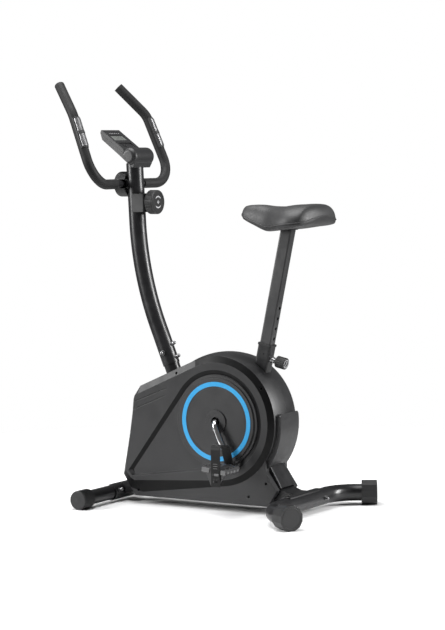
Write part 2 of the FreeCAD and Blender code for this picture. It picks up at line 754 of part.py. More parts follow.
def display_frame():
    """Point, down-slope direction and outward normal of the display plane."""
    run = vec(DISPLAY_LOW[0] - DISPLAY_HIGH[0], 0, DISPLAY_LOW[1] - DISPLAY_HIGH[1]).normalize()
    normal = vec(run.z, 0, -run.x)
    return vec(DISPLAY_HIGH[0], 0, DISPLAY_HIGH[1]), run, normal


def console_window(width, height, depth, x, y):
    """Cutting block for a rectangular pocket in the display plane."""
    origin, run, normal = display_frame()
    along = (x - origin.x) / run.x
    centre = origin + run * along + vec(0, y, 0)
    corner = centre - run * (height / 2) - Y_AXIS * (width / 2) - normal * depth
    sheet = Part.makePolygon([corner, corner + run * height, corner + run * height + Y_AXIS * width,
                              corner + Y_AXIS * width, corner])
    return Part.Face(sheet).extrude(normal * (depth + 6))


def console_screen():
    """Flat display lens in its pocket."""
    pane = console_window(67.6, 25.6, 2.9, 310.0, 1.5)
    return pane.cut(console_window(200, 200, 0.6, 310.0, 0.0))


def button_shape(radius, depth0, depth1):
    origin, run, normal = display_frame()
    along = (281.0 - origin.x) / run.x
    centre = origin + run * along + vec(0, 9, 0)
    return rod(centre + normal * depth0, centre + normal * depth1, radius)


def console_button():
    return button_shape(5.0, -7.0, -1.0)


# Resistance control

def tension_housing():
    """Box that wraps the rear of the post and carries the tension knob."""
    body = box(205, 249, -27.5, 27.5, TENSION_Z - 29, TENSION_Z + 25)
    upright = [e for e in body.Edges if abs(e.tangentAt(e.FirstParameter).z) > 0.9
               and e.CenterOfMass.x < 210]
    body = body.makeFillet(6, upright)
    body = body.cut(swept(post_path(JOINT_Z), POST_R))
    collar = Part.makeCylinder(22, 6, vec(199.5, 0, TENSION_Z), X_AXIS)
    body = body.fuse(collar).removeSplitter()
    return body.cut(Part.makeCylinder(4 + RUN, 40, vec(190, 0, TENSION_Z), X_AXIS))


def tension_knob():
    """Big scalloped knob that faces the rider."""
    knob = Part.makeCylinder(35.5, 24.7, vec(174.5, 0, TENSION_Z), X_AXIS)
    front = [e for e in knob.Edges if abs(e.CenterOfMass.x - 174.5) < 0.1 and e.Length > 100]
    knob = knob.makeFillet(2.5, front)
    for k in range(24):
        angle = math.radians(15 * k)
        corner = vec(180, 37.0 * math.cos(angle), TENSION_Z + 37.0 * math.sin(angle))
        knob = knob.cut(Part.makeCylinder(2.6, 40, corner, X_AXIS))
    shaft = Part.makeCylinder(4, 22, vec(198, 0, TENSION_Z), X_AXIS)
    return knob.fuse(shaft).removeSplitter()


def tension_cable():
    """Cable sheath down inside the post to the magnet arm."""
    shift = vec(6, 0, 0)
    low = post_point(330) + shift
    points = [p + shift for p in POST_POINTS[1:]]
    lower = Part.LineSegment(low, points[0]).toShape()
    bend = Part.Arc(points[0], points[1], points[2]).toShape()
    upper = Part.LineSegment(points[2], vec(254.3, 0, 850)).toShape()
    return swept(Part.Wire([lower, bend, upper]), 2.5)


def magnet_arm():
    """Curved arm over the flywheel's rim that carries the brake magnets."""
    outer = disc_y(FLY_X, FLY_Z, FLY_R + 13, FLY_Y0 - 1, FLY_Y1 + 1)
    arc = outer.cut(disc_y(FLY_X, FLY_Z, FLY_R + 3, 0, 80))
    wedge = prism([(FLY_X, FLY_Z), (FLY_X + 90, FLY_Z + 220), (FLY_X - 120, FLY_Z + 240),
                   (FLY_X - 190, FLY_Z + 90)], 0, 80)
    arc = arc.common(wedge)
    eye = disc_y(MAGNET_PIVOT[0], MAGNET_PIVOT[1], 9, FLY_Y0 - 1, FLY_Y1 + 1)
    arm = arc.fuse(eye).removeSplitter()
    arm = arm.cut(disc_y(FLY_X, FLY_Z, FLY_R + 3, 0, 80))
    return arm.cut(disc_y(MAGNET_PIVOT[0], MAGNET_PIVOT[1], 4 + RUN, 0, 80))


# Drive

def crank():
    """One-piece chrome crank: axle through the housing and an arm on each side."""
    eye = CRANK_CENTRE + CRANK_DOWN * CRANK_LENGTH + Y_AXIS * ARM_Y
    knee = CRANK_CENTRE + CRANK_DOWN * 60 + Y_AXIS * ARM_Y
    turn = CRANK_CENTRE + Y_AXIS * 85.5
    path = rounded_path([CRANK_CENTRE, turn, knee, eye], [19.0, 60.0])
    half = swept(path, AXLE_R)
    boss = rod(eye - Y_AXIS * 8.5, eye + Y_AXIS * 8.5, 14.5)
    half = half.fuse(boss)
    other = mirror_y(half)
    other.rotate(CRANK_CENTRE, Y_AXIS, 180)
    solid = half.fuse(other).removeSplitter()
    for axis, side in ((LEFT_PEDAL_AXIS, 1), (RIGHT_PEDAL_AXIS, -1)):
        a = axis + Y_AXIS * (side * (ARM_Y - 20))
        solid = solid.cut(rod(a, a + Y_AXIS * (side * 40), 7.0))
    return solid


def pedal_spindles():
    """Stepped steel pins screwed into the ends of the crank arms."""
    pins = []
    for axis, side in ((LEFT_PEDAL_AXIS, 1), (RIGHT_PEDAL_AXIS, -1)):
        out = Y_AXIS * side
        thread = rod(axis + out * (ARM_Y - 8.5), axis + out * (ARM_Y + 9), 7.0)
        collar = rod(axis + out * (ARM_Y + 8.6), axis + out * (ARM_Y + 13), 8.5)
        shaft = rod(axis + out * (ARM_Y + 13), axis + out * (ARM_Y + 82), 5.5)
        pins.append(thread.fuse([collar, shaft]).removeSplitter())
    return group(pins)


PEDAL_Y0 = 108.0
PEDAL_Y1 = 184.0
PEDAL_FRONT = 46.0
PEDAL_REAR = 34.0
PEDAL_TILT = 6.0


def pedal():
    """Left pedal: a platform with two treads, ribs under the shoe and an outer keel plate."""
    x, z = LEFT_PEDAL_AXIS.x, LEFT_PEDAL_AXIS.z
    hub = disc_y(x, z, 12, PEDAL_Y0, PEDAL_Y1 - 2)
    front = x + PEDAL_FRONT
    rear = x - PEDAL_REAR
    outline = [(rear, z - 5), (rear + 5, z - 9), (front - 5, z - 9), (front, z - 5),
               (front, z + 5), (front - 3, z + 9), (rear + 3, z + 9), (rear, z + 5)]
    plate = prism(outline, PEDAL_Y0, PEDAL_Y1)
    for x0, x1 in ((rear + 12, x - 13), (x + 13, front - 13)):
        plate = plate.cut(box(x0, x1, PEDAL_Y0 + 10, PEDAL_Y1 - 12, z - 20, z + 20))
    solid = plate.fuse(hub)
    for k in range(5):
        y = PEDAL_Y0 + 5 + 15 * k
        for x0, x1 in ((rear + 3, rear + 11), (front - 11, front - 3)):
            solid = solid.fuse(box(x0, x1, y, y + 6, z + 7, z + 12))
    keel = prism([(x - 30, z - 7), (x + 30, z - 7), (x + 11, z - 42), (x - 11, z - 42)],
                 PEDAL_Y1 - 6, PEDAL_Y1)
    solid = solid.fuse(keel).removeSplitter()
    solid = solid.cut(disc_y(x, z, 5.5 + RUN, 0, ARM_Y + 83))
    solid.rotate(LEFT_PEDAL_AXIS, Y_AXIS, -PEDAL_TILT)
    peg = disc_y(x + 3, z - 28, 2.2, PEDAL_Y1 - 1, PEDAL_Y1 + 5)
    return solid.fuse(peg).removeSplitter()


def strap():
    """Left foot strap: a band from the inner side over the foot and down the outer side."""
    x, z = LEFT_PEDAL_AXIS.x, LEFT_PEDAL_AXIS.z
    half = 14.5
    thick = 3.0
    inner = PEDAL_Y0 + 5
    outer = PEDAL_Y1 + 0.3 + thick / 2
    rear = x - half - 2
    points = [vec(rear, inner, z + 12.7), vec(rear, inner + 20, z + 68),
              vec(rear, outer, z + 75), vec(rear, outer, z - 43)]
    path = rounded_path(points, [18.0, 14.0])
    start = points[0]
    heading = (points[1] - points[0]).normalize()
    side = heading.cross(X_AXIS).normalize() * (thick / 2)
    across = X_AXIS * (2 * half)
    ring = Part.makePolygon([start - side, start + side, start + side + across,
                             start - side + across, start - side])
    band = path.makePipeShell([ring], True, False)
    for dx in (-5, 5):
        band = band.cut(disc_y(x - 2 + dx, z - 28, 2.6, outer - 10, outer + 10))
    return band


def to_right_pedal(shape):
    """Right side copy: the pedal hangs from the opposite crank arm with its strap below."""
    copy = mirror_y(shape)
    copy.rotate(vec(LEFT_PEDAL_AXIS.x, 0, LEFT_PEDAL_AXIS.z), Y_AXIS, 180)
    copy.translate(RIGHT_PEDAL_AXIS - LEFT_PEDAL_AXIS)
    return copy


def drive_pulley():
    """Spoked belt wheel keyed to the crank axle."""
    wheel = disc_y(CRANK_X, CRANK_Z, PULLEY_R, BELT_Y0, BELT_Y1)
    hub = disc_y(CRANK_X, CRANK_Z, 20, 35, BELT_Y1)
    wheel = wheel.fuse(hub).removeSplitter()
    for k in range(6):
        x, z = polar(56, 60 * k + 30)
        wheel = wheel.cut(disc_y(x, z, 20, BELT_Y0 - 1, BELT_Y1 + 1))
    return wheel.cut(disc_y(CRANK_X, CRANK_Z, AXLE_R, 30, 60))


def flywheel():
    """Heavy disc with its small belt pulley, on the fixed axle."""
    disc = disc_y(FLY_X, FLY_Z, FLY_R, FLY_Y0, FLY_Y1)
    groove = disc_y(FLY_X, FLY_Z, FLY_R - 18, FLY_Y0 - 1, FLY_Y0 + 5)
    groove = groove.cut(disc_y(FLY_X, FLY_Z, 26, FLY_Y0 - 1, FLY_Y0 + 5))
    pulley = disc_y(FLY_X, FLY_Z, SMALL_PULLEY_R, FLY_Y1, BELT_Y1 + 0.5)
    solid = disc.cut(groove).fuse(pulley).removeSplitter()
    return solid.cut(disc_y(FLY_X, FLY_Z, 6 + RUN, 0, 80))


def flywheel_axle():
    axle = disc_y(FLY_X, FLY_Z, 6, 11, BELT_Y1 + 1.5)
    nut = disc_y(FLY_X, FLY_Z, 11, 20, FLY_Y0 - 0.3)
    tail = disc_y(FLY_X, FLY_Z, 11, 7, 14)
    sleeve = disc_y(FLY_X, FLY_Z, 7, 14, 20)
    return axle.fuse([nut, tail, sleeve]).removeSplitter()


def belt_band(offset, y0, y1):
    """Solid bounded by a belt line at an offset outside both pulleys."""
    dx = FLY_X - CRANK_X
    dz = FLY_Z - CRANK_Z
    distance = math.hypot(dx, dz)
    heading = math.atan2(dz, dx)
    spread = math.acos((PULLEY_R - SMALL_PULLEY_R) / distance)
    corners = []
    for sign in (1, -1):
        angle = heading + sign * spread
        for cx, cz, radius in ((CRANK_X, CRANK_Z, PULLEY_R), (FLY_X, FLY_Z, SMALL_PULLEY_R)):
            reach = radius + offset
            corners.append((cx + reach * math.cos(angle), cz + reach * math.sin(angle)))
    big_up, small_up, big_low, small_low = corners
    body = prism([big_up, small_up, small_low, big_low], y0, y1)
    ends = [disc_y(CRANK_X, CRANK_Z, PULLEY_R + offset, y0, y1),
            disc_y(FLY_X, FLY_Z, SMALL_PULLEY_R + offset, y0, y1)]
    return body.fuse(ends).removeSplitter()


def drive_belt():
    outer = belt_band(RUN + BELT_THICK, BELT_Y0 + 0.5, BELT_Y1 - 0.5)
    return outer.cut(belt_band(RUN, BELT_Y0, BELT_Y1))


# Seat

SEAT_POST_TOP_Z = 820.0
SEAT_POST_LOW_Z = 322.0


def seat_post():
    """Rectangular seat post with adjusting holes on its rear face."""
    base = seat_axis(SEAT_POST_LOW_Z)
    length = (seat_axis(SEAT_POST_TOP_Z) - base).Length
    bar = leaning_box(base, length, SEAT_LONG, SEAT_WIDE, 5)
    bar = bar.cut(leaning_box(seat_axis(SEAT_POST_LOW_Z - 10), length + 30, SEAT_LONG - 4,
                              SEAT_WIDE - 4, 3))
    pin_at = seat_axis(PIN_Z)
    for k in range(-1, 6):
        start = pin_at + SEAT_UP * (HOLE_PITCH * k)
        bar = bar.cut(rod(start, start + SEAT_BACK * 30, 4.6))
    return bar


def saddle_section(x, half, top, low):
    """Closed cross-section of the saddle in a plane of constant x."""
    rise = top - low
    points = [vec(x, 0, top), vec(x, 0.55 * half, top - 0.10 * rise),
              vec(x, 0.93 * half, top - 0.45 * rise), vec(x, half, low + 0.12 * rise),
              vec(x, 0.85 * half, low), vec(x, 0, low)]
    points += [vec(p.x, -p.y, p.z) for p in reversed(points[1:-1])]
    curve = Part.BSplineCurve()
    curve.interpolate(points, PeriodicFlag=True)
    return Part.Wire(curve.toShape())


SADDLE_SECTIONS = [(-117.0, 15.0, 865.0, 851.0), (-134.0, 30.0, 876.0, 840.0),
                   (-176.0, 42.0, 879.0, 824.0), (-221.0, 60.0, 875.0, 811.0),
                   (-262.0, 92.0, 875.0, 812.0), (-308.0, 112.0, 880.0, 818.0),
                   (-348.0, 108.0, 881.0, 823.0), (-372.0, 86.0, 877.0, 830.0),
                   (-381.0, 58.0, 867.0, 841.0)]


def saddle():
    """Padded saddle, a plain closed body of the right size."""
    loft = Part.makeLoft([saddle_section(*s) for s in SADDLE_SECTIONS], True, False)
    return loft.cut(saddle_pan_space())


def saddle_pan_space():
    """Shallow space under the padding that holds the hard base."""
    return prism([(-205, 800), (-205, 829), (-295, 834), (-335, 834), (-335, 800)], -50, 50)


def saddle_base():
    """Hard pan under the padding, with the socket plate of the seat post."""
    pan = prism([(-210, 821), (-210, 829), (-295, 833.7), (-330, 833.7), (-330, 826), (-295, 826),
                 (-240, 821)], -48, 48)
    socket = leaning_box(seat_axis(813), 12, SEAT_LONG + 8, SEAT_WIDE + 8, 4)
    solid = pan.fuse(socket).removeSplitter()
    depth = (seat_axis(SEAT_POST_TOP_Z) - seat_axis(780)).Length + 0.1
    return solid.cut(leaning_box(seat_axis(780), depth, SEAT_LONG + 0.1, SEAT_WIDE + 0.1, 5))


def saddle_bolts():
    bolts = []
    for x, y in ((-235, 34), (-235, -34), (-315, 0)):
        seat_z = 821.0 if x > -250 else 826.0
        head = Part.makeCylinder(6, 4, vec(x, y, seat_z - 4), Z_AXIS)
        bolts.append(head)
    return group(bolts)


# Seat pin

def pin_point(distance):
    return seat_axis(PIN_Z) + SEAT_BACK * distance


def pin_collar():
    """Threaded barrel welded on the rear face of the seat tube."""
    barrel = rod(pin_point(SLEEVE_LONG / 2 + 0.05), pin_point(SLEEVE_LONG / 2 + 9), 10.0)
    tail = rod(pin_point(SLEEVE_LONG / 2 + 9), pin_point(SLEEVE_LONG / 2 + 15), 8.0)
    barrel = barrel.fuse(tail).removeSplitter().cut(rod(pin_point(0), pin_point(60), 4.2 + RUN))
    return barrel.cut(rod(pin_point(SLEEVE_LONG / 2 + 2), pin_point(SLEEVE_LONG / 2 + 12), 6.6))


def pin_plunger():
    """Steel pin that drops into a hole of the seat post."""
    return rod(pin_point(SEAT_LONG / 2 + 0.4), pin_point(SLEEVE_LONG / 2 + 30), 4.2)


def pin_knob():
    """Ribbed knob on the end of the pin."""
    start = SLEEVE_LONG / 2 + 20.5
    knob = rod(pin_point(start), pin_point(start + 29), 17.0)
    rim = [e for e in knob.Edges if e.Length > 90]
    knob = knob.makeFillet(1.8, rim)
    cross = SEAT_BACK.cross(Y_AXIS)
    for k in range(18):
        angle = math.radians(20 * k)
        out = Y_AXIS * math.cos(angle) + cross * math.sin(angle)
        flute = rod(pin_point(start - 1) + out * 18.0, pin_point(start + 23) + out * 18.0, 2.0)
        knob = knob.cut(flute)
    return knob.cut(pin_plunger())


def pin_spring():
    """Turns of the return spring inside the collar."""
    coils = []
    first = SLEEVE_LONG / 2 + 3.5
    for k in range(4):
        centre = pin_point(first + 2.3 * k)
        ring = Part.makeTorus(5.5, 0.8, centre, SEAT_BACK)
        coils.append(ring)
    return group(coils)


# All the nodes

def build():
    os.makedirs("parts", exist_ok=True)
    left = side_shell()
    nodes = {
        "main_beam": main_beam(), "front_bracket": front_bracket(), "rear_leg": rear_leg(),
        "rear_bracket": rear_bracket(), "seat_tube": seat_tube(),
        "seat_tube_bush": seat_tube_bush(), "post_stub": post_stub(),
        "crank_shell": crank_shell(), "crank_bearings": crank_bearings(),
        "left_shell": left, "right_shell": mirror_y(left), "rear_cover": rear_cover(),
        "left_round_cover": round_cover(), "right_round_cover": mirror_y(round_cover()),
        "accent_rings": group([ring_shape(0, 70.2, 71.6), mirror_y(ring_shape(0, 70.2, 71.6))]),
        "hub_caps": group([hub_cap(), mirror_y(hub_cap())]), "shell_screws": shell_screws(),
        "front_stabilizer": front_stabilizer(), "front_left_wheel": front_wheel(),
        "front_right_wheel": mirror_y(front_wheel()), "rear_stabilizer": rear_stabilizer(),
        "rear_left_foot": rear_foot(), "rear_right_foot": mirror_y(rear_foot()),
        "stabilizer_bolts": stabilizer_bolts(), "post": post(), "post_bolts": post_bolts(),
        "handlebar_bracket": handlebar_bracket(), "clamp_cover": clamp_cover(),
        "clamp_cap": clamp_cap(), "handlebar": handlebar(), "left_grip": grip(),
        "right_grip": mirror_y(grip()), "pulse_bases": pulse_bases(),
        "pulse_plates": pulse_plates(), "console_back": console_back(),
        "console_front": console_front(), "console_screen": console_screen(),
        "console_button": console_button(), "tension_housing": tension_housing(),
        "tension_knob": tension_knob(), "tension_cable": tension_cable(),
        "magnet_arm": magnet_arm(), "crank": crank(),
        "pedal_spindles": pedal_spindles(), "left_pedal": pedal(),
        "right_pedal": to_right_pedal(pedal()), "left_strap": strap(),
        "right_strap": to_right_pedal(strap()), "drive_pulley": drive_pulley(),
        "flywheel": flywheel(), "flywheel_axle": flywheel_axle(), "drive_belt": drive_belt(),
        "seat_post": seat_post(), "saddle": saddle(), "saddle_base": saddle_base(),
        "saddle_bolts": saddle_bolts(), "pin_collar": pin_collar(),
        "pin_plunger": pin_plunger(), "pin_knob": pin_knob(), "pin_spring": pin_spring(),
    }
    for node, shape in nodes.items():
        save(shape, node)
        kinds = len(shape.Solids)
        print("%-20s solids %d valid %s volume %.0f" % (node, kinds, shape.isValid(), shape.Volume))


build()
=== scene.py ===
import json
import math
import bmesh
import bpy
from mathutils import Matrix, Vector

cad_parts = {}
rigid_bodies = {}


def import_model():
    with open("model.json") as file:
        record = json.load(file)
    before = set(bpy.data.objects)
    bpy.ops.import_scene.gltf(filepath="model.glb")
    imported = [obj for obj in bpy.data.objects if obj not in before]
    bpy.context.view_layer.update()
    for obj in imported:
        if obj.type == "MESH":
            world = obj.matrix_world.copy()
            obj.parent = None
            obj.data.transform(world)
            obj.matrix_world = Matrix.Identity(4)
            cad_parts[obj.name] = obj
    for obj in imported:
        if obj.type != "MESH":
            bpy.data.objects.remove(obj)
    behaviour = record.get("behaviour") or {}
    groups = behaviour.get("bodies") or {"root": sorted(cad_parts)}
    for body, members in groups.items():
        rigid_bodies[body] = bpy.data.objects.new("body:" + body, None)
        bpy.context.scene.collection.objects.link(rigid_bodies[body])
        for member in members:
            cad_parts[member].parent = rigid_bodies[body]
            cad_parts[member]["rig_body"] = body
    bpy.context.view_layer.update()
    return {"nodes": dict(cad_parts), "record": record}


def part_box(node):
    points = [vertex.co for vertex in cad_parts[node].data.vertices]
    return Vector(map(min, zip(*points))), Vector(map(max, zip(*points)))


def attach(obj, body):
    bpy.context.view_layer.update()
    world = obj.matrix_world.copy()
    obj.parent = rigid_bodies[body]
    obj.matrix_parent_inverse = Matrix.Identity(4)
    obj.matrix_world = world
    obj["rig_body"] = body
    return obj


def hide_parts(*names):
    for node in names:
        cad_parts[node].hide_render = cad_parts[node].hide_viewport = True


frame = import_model()
nodes = frame["nodes"]


X_AXIS = Vector((1, 0, 0))
Y_AXIS = Vector((0, 1, 0))
Z_AXIS = Vector((0, 0, 1))
SIDES = ((1, "left"), (-1, "right"))
BEVEL_ANGLE = math.radians(35)
CREASE = math.radians(28)
TUBE_UP = Vector((0.13, 0.21, 1)).normalized()
RIPPLE_STEP = 2.1
BLOCK_FACES = ((0, 1, 3, 2), (4, 6, 7, 5), (0, 4, 5, 1), (2, 3, 7, 6), (0, 2, 6, 4),
               (1, 5, 7, 3))


# Mesh helpers

def to_object(bm, name, body, slot, smooth=True):
    """Turns a bmesh in the row frame into a piece that rides a body."""
    bmesh.ops.recalc_face_normals(bm, faces=bm.faces)
    mesh = bpy.data.meshes.new(name)
    bm.to_mesh(mesh)
    bm.free()
    for face in mesh.polygons:
        face.use_smooth = smooth
    obj = bpy.data.objects.new(name, mesh)
    bpy.context.scene.collection.objects.link(obj)
    obj.data.materials.append(MATERIALS[slot])
    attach(obj, body)
    return obj


def bevelled(obj, width, segments=2):
    bevel = obj.modifiers.new("edge", "BEVEL")
    bevel.width = width
    bevel.segments = segments
    bevel.limit_method = "ANGLE"
    bevel.angle_limit = BEVEL_ANGLE
    bevel.harden_normals = False
    return obj


def closed_fan(bm, ring, tip):
    """Triangles from a ring to one vertex."""
    for k in range(len(ring)):
        bm.faces.new((ring[k], ring[(k + 1) % len(ring)], tip))


def bridge(bm, a, b):
    count = len(a)
    for k in range(count):
        n = (k + 1) % count
        bm.faces.new((a[k], a[n], b[n], b[k]))


def axes_for(direction):
    """Two unit vectors square to a direction."""
    d = Vector(direction).normalized()
    side = d.cross(Z_AXIS)
    if side.length < 0.1:
        side = d.cross(X_AXIS)
    side.normalize()
    return side, side.cross(d).normalized()


def lathe(bm, centre, direction, profile, count=64):
    """Closed turned body: profile is (distance along, radius) pairs, ends on the axis."""
    d = Vector(direction).normalized()
    s, t = axes_for(d)
    c = Vector(centre)
    rings = []
    for along, radius in profile:
        middle = c + d * along
        if radius <= 0:
            rings.append([bm.verts.new(middle)])
        else:
            rings.append(section_ring(bm, middle, s, t, radius, count))
    for a, b in zip(rings, rings[1:]):
        if len(a) == 1:
            for k in range(count):
                bm.faces.new((a[0], b[k], b[(k + 1) % count]))
        elif len(b) == 1:
            closed_fan(bm, a, b[0])
        else:
            bridge(bm, a, b)


def section_ring(bm, centre, s, t, radius, count):
    """Ring of vertices round a centre, in the plane of the unit vectors s and t."""
    ring = []
    for k in range(count):
        a = 2 * math.pi * k / count
        ring.append(bm.verts.new(centre + (s * math.cos(a) + t * math.sin(a)) * radius))
    return ring


def torus(bm, centre, direction, radius, thick, count=72, around=8):
    """Closed ring of round section."""
    d = Vector(direction).normalized()
    s, t = axes_for(d)
    c = Vector(centre)
    rings = []
    for k in range(count):
        a = 2 * math.pi * k / count
        out = s * math.cos(a) + t * math.sin(a)
        ring = []
        for m in range(around):
            b = 2 * math.pi * m / around
            reach = radius + thick * math.cos(b)
            ring.append(bm.verts.new(c + out * reach + d * thick * math.sin(b)))
        rings.append(ring)
    for a, b in zip(rings, rings[1:]):
        bridge(bm, a, b)
    bridge(bm, rings[-1], rings[0])


def tube(bm, points, thick, around=8, closed=False, ripple=0.0):
    """Round cord along points; ripple is the share by which its radius swells and thins."""
    rings = []
    count = len(points)
    for k, p in enumerate(points):
        before = points[(k - 1) % count] if (closed or k > 0) else p
        after = points[(k + 1) % count] if (closed or k < count - 1) else p
        d = (after - before).normalized()
        s = d.cross(TUBE_UP).normalized()
        t = s.cross(d).normalized()
        radius = thick * (1.0 + ripple * math.sin(k * RIPPLE_STEP))
        rings.append(section_ring(bm, p, s, t, radius, around))
    for a, b in zip(rings, rings[1:]):
        bridge(bm, a, b)
    if closed:
        bridge(bm, rings[-1], rings[0])
    else:
        bm.faces.new(rings[0])
        bm.faces.new(list(reversed(rings[-1])))


def slab(bm, centre, along, across, thick_dir, size):
    """Small block given by its centre, three directions and three full sizes."""
    c = Vector(centre)
    directions = (along, across, thick_dir)
    u, v, w = [Vector(d).normalized() * s / 2 for d, s in zip(directions, size)]
    corners = [c + u * i + v * j + w * k for k in (-1, 1) for j in (-1, 1) for i in (-1, 1)]
    verts = [bm.verts.new(p) for p in corners]
    for face in BLOCK_FACES:
        bm.faces.new([verts[i] for i in face])


def flat_prism(bm, outline, lift):
    """Straight prism over a closed outline of points."""
    low = [bm.verts.new(p) for p in outline]
    high = [bm.verts.new(p + lift) for p in outline]
    bm.faces.new(low)
    bm.faces.new(list(reversed(high)))
    bridge(bm, low, high)


# Materials

class Graph:
    """Short way to write node trees."""

    def __init__(self, name):
        self.material = bpy.data.materials.new(name)
        self.material.use_nodes = True
        self.tree = self.material.node_tree
        self.shader = self.tree.nodes["Principled BSDF"]
        self.place = self.node("ShaderNodeTexCoord").outputs["Object"]

    def node(self, kind, **settings):
        made = self.tree.nodes.new(kind)
        for key, value in settings.items():
            setattr(made, key, value)
        return made

    def link(self, output, socket):
        self.tree.links.new(output, socket)

    def noise(self, scale, detail=3.0, rough=0.55, stretch=None):
        made = self.node("ShaderNodeTexNoise")
        made.inputs["Scale"].default_value = scale
        made.inputs["Detail"].default_value = detail
        made.inputs["Roughness"].default_value = rough
        self.link(self.stretched(stretch), made.inputs["Vector"])
        return made.outputs["Fac"]

    def cells(self, scale, feature="F1"):
        made = self.node("ShaderNodeTexVoronoi", feature=feature)
        made.inputs["Scale"].default_value = scale
        self.link(self.place, made.inputs["Vector"])
        return made.outputs["Distance"]

    def stretched(self, stretch):
        if stretch is None:
            return self.place
        mapping = self.node("ShaderNodeMapping")
        mapping.inputs["Scale"].default_value = stretch
        self.link(self.place, mapping.inputs["Vector"])
        return mapping.outputs["Vector"]

    def spread(self, source, low, high, from_low=0.3, from_high=0.7):
        made = self.node("ShaderNodeMapRange")
        made.inputs["From Min"].default_value = from_low
        made.inputs["From Max"].default_value = from_high
        made.inputs["To Min"].default_value = low
        made.inputs["To Max"].default_value = high
        self.link(source, made.inputs["Value"])
        return made.outputs["Result"]

    def mix(self, factor, a, b):
        made = self.node("ShaderNodeMix", data_type="RGBA")
        self.link(factor, made.inputs[0])
        for socket, value in ((made.inputs[6], a), (made.inputs[7], b)):
            if hasattr(value, "links"):
                self.link(value, socket)
            else:
                socket.default_value = (*value, 1.0)
        return made.outputs[2]

    def edges(self, radius):
        """Mask that is high near sharp convex edges."""
        soft = self.node("ShaderNodeBevel", samples=4)
        soft.inputs["Radius"].default_value = radius
        geometry = self.node("ShaderNodeNewGeometry")
        dot = self.node("ShaderNodeVectorMath", operation="DOT_PRODUCT")
        self.link(soft.outputs["Normal"], dot.inputs[0])
        self.link(geometry.outputs["Normal"], dot.inputs[1])
        return self.spread(dot.outputs["Value"], 1.0, 0.0, 0.80, 0.995)

    def bump(self, height, strength, distance, radius=0.0):
        made = self.node("ShaderNodeBump")
        made.inputs["Strength"].default_value = strength
        made.inputs["Distance"].default_value = distance
        self.link(height, made.inputs["Height"])
        if radius:
            soft = self.node("ShaderNodeBevel", samples=4)
            soft.inputs["Radius"].default_value = radius
            self.link(soft.outputs["Normal"], made.inputs["Normal"])
        self.link(made.outputs["Normal"], self.shader.inputs["Normal"])


def finish_material(name, base, tint, rough, grain, wear_and_edge_highlight=None, metallic=0.0, coat=0.0,
                    specular=0.5, edge=0.0012, sheen=0.0):
    """Base colour with slow and fine variation, roughness variation, grain bump and lighter
    edges, partly wear and partly painted highlight.

    grain is (scale, strength, distance); the wear and edge highlight is (colour, amount)."""
    g = Graph(name)
    shader = g.shader.inputs
    slow = g.noise(9.0, 2.0)
    colour = g.mix(g.spread(slow, 0.0, 1.0), base, tint)
    scale, strength, distance = grain
    fine = g.noise(scale, 2.0)
    speck = tuple(c * 0.78 for c in base)
    colour = g.mix(g.spread(fine, 0.0, 0.35), colour, speck)
    # lighter convex edges: partly rubbed wear, partly painted highlight where edges catch the
    # light
    if wear_and_edge_highlight:
        wear_highlight_colour, amount = wear_and_edge_highlight
        breakup = g.noise(60.0, 3.0)
        mask = g.node("ShaderNodeMath", operation="MULTIPLY")
        g.link(g.edges(0.0018), mask.inputs[0])
        g.link(g.spread(breakup, 0.0, amount), mask.inputs[1])
        colour = g.mix(mask.outputs["Value"], colour, wear_highlight_colour)
    g.link(colour, shader["Base Color"])
    g.link(g.spread(g.noise(35.0, 3.0), rough - 0.05, rough + 0.06), shader["Roughness"])
    g.bump(fine, strength, distance, edge)
    shader["Metallic"].default_value = metallic
    shader["Specular IOR Level"].default_value = specular
    shader["Coat Weight"].default_value = coat
    shader["Coat Roughness"].default_value = 0.12
    if sheen:
        shader["Sheen Weight"].default_value = sheen
        shader["Sheen Roughness"].default_value = 0.5
    return g.material


def brushed_metal(name, base, rough, stretch, scratch, scale=240.0):
    g = Graph(name)
    shader = g.shader.inputs
    lines = g.noise(scale, 2.0, stretch=stretch)
    cloud = g.noise(14.0, 3.0)
    darker = tuple(c * 0.72 for c in base)
    g.link(g.mix(g.spread(cloud, 0.0, 0.55), base, darker), shader["Base Color"])
    g.link(g.spread(lines, rough - 0.04, rough + 0.08), shader["Roughness"])
    g.bump(lines, scratch, 0.00003)
    shader["Metallic"].default_value = 1.0
    return g.material


def saddle_material(name):
    """Leather-grain vinyl: pebbled cells and creases."""
    g = Graph(name)
    shader = g.shader.inputs
    pebble = g.cells(620.0, "SMOOTH_F1")
    crease = g.noise(190.0, 4.0, 0.6)
    slow = g.noise(11.0, 2.0)
    colour = g.mix(g.spread(slow, 0.0, 1.0), (0.018, 0.018, 0.019), (0.026, 0.026, 0.027))
    colour = g.mix(g.spread(pebble, 0.0, 0.5, 0.2, 0.8), colour, (0.011, 0.011, 0.011))
    g.link(colour, shader["Base Color"])
    g.link(g.spread(crease, 0.46, 0.60), shader["Roughness"])
    both = g.node("ShaderNodeMath", operation="ADD")
    g.link(pebble, both.inputs[0])
    g.link(crease, both.inputs[1])
    g.bump(both.outputs["Value"], 0.35, 0.0004)
    shader["Specular IOR Level"].default_value = 0.55
    return g.material


def grip_material(name):
    """Closed-cell foam: open pores over a soft, dull body."""
    g = Graph(name)
    shader = g.shader.inputs
    pores = g.cells(900.0)
    slow = g.noise(26.0, 3.0)
    colour = g.mix(g.spread(slow, 0.0, 1.0), (0.011, 0.011, 0.0115), (0.017, 0.017, 0.0175))
    colour = g.mix(g.spread(pores, 0.0, 0.6, 0.25, 0.75), colour, (0.006, 0.006, 0.006))
    g.link(colour, shader["Base Color"])
    g.link(g.spread(slow, 0.55, 0.68), shader["Roughness"])
    g.bump(pores, 0.25, 0.0002)
    shader["Specular IOR Level"].default_value = 0.26
    return g.material


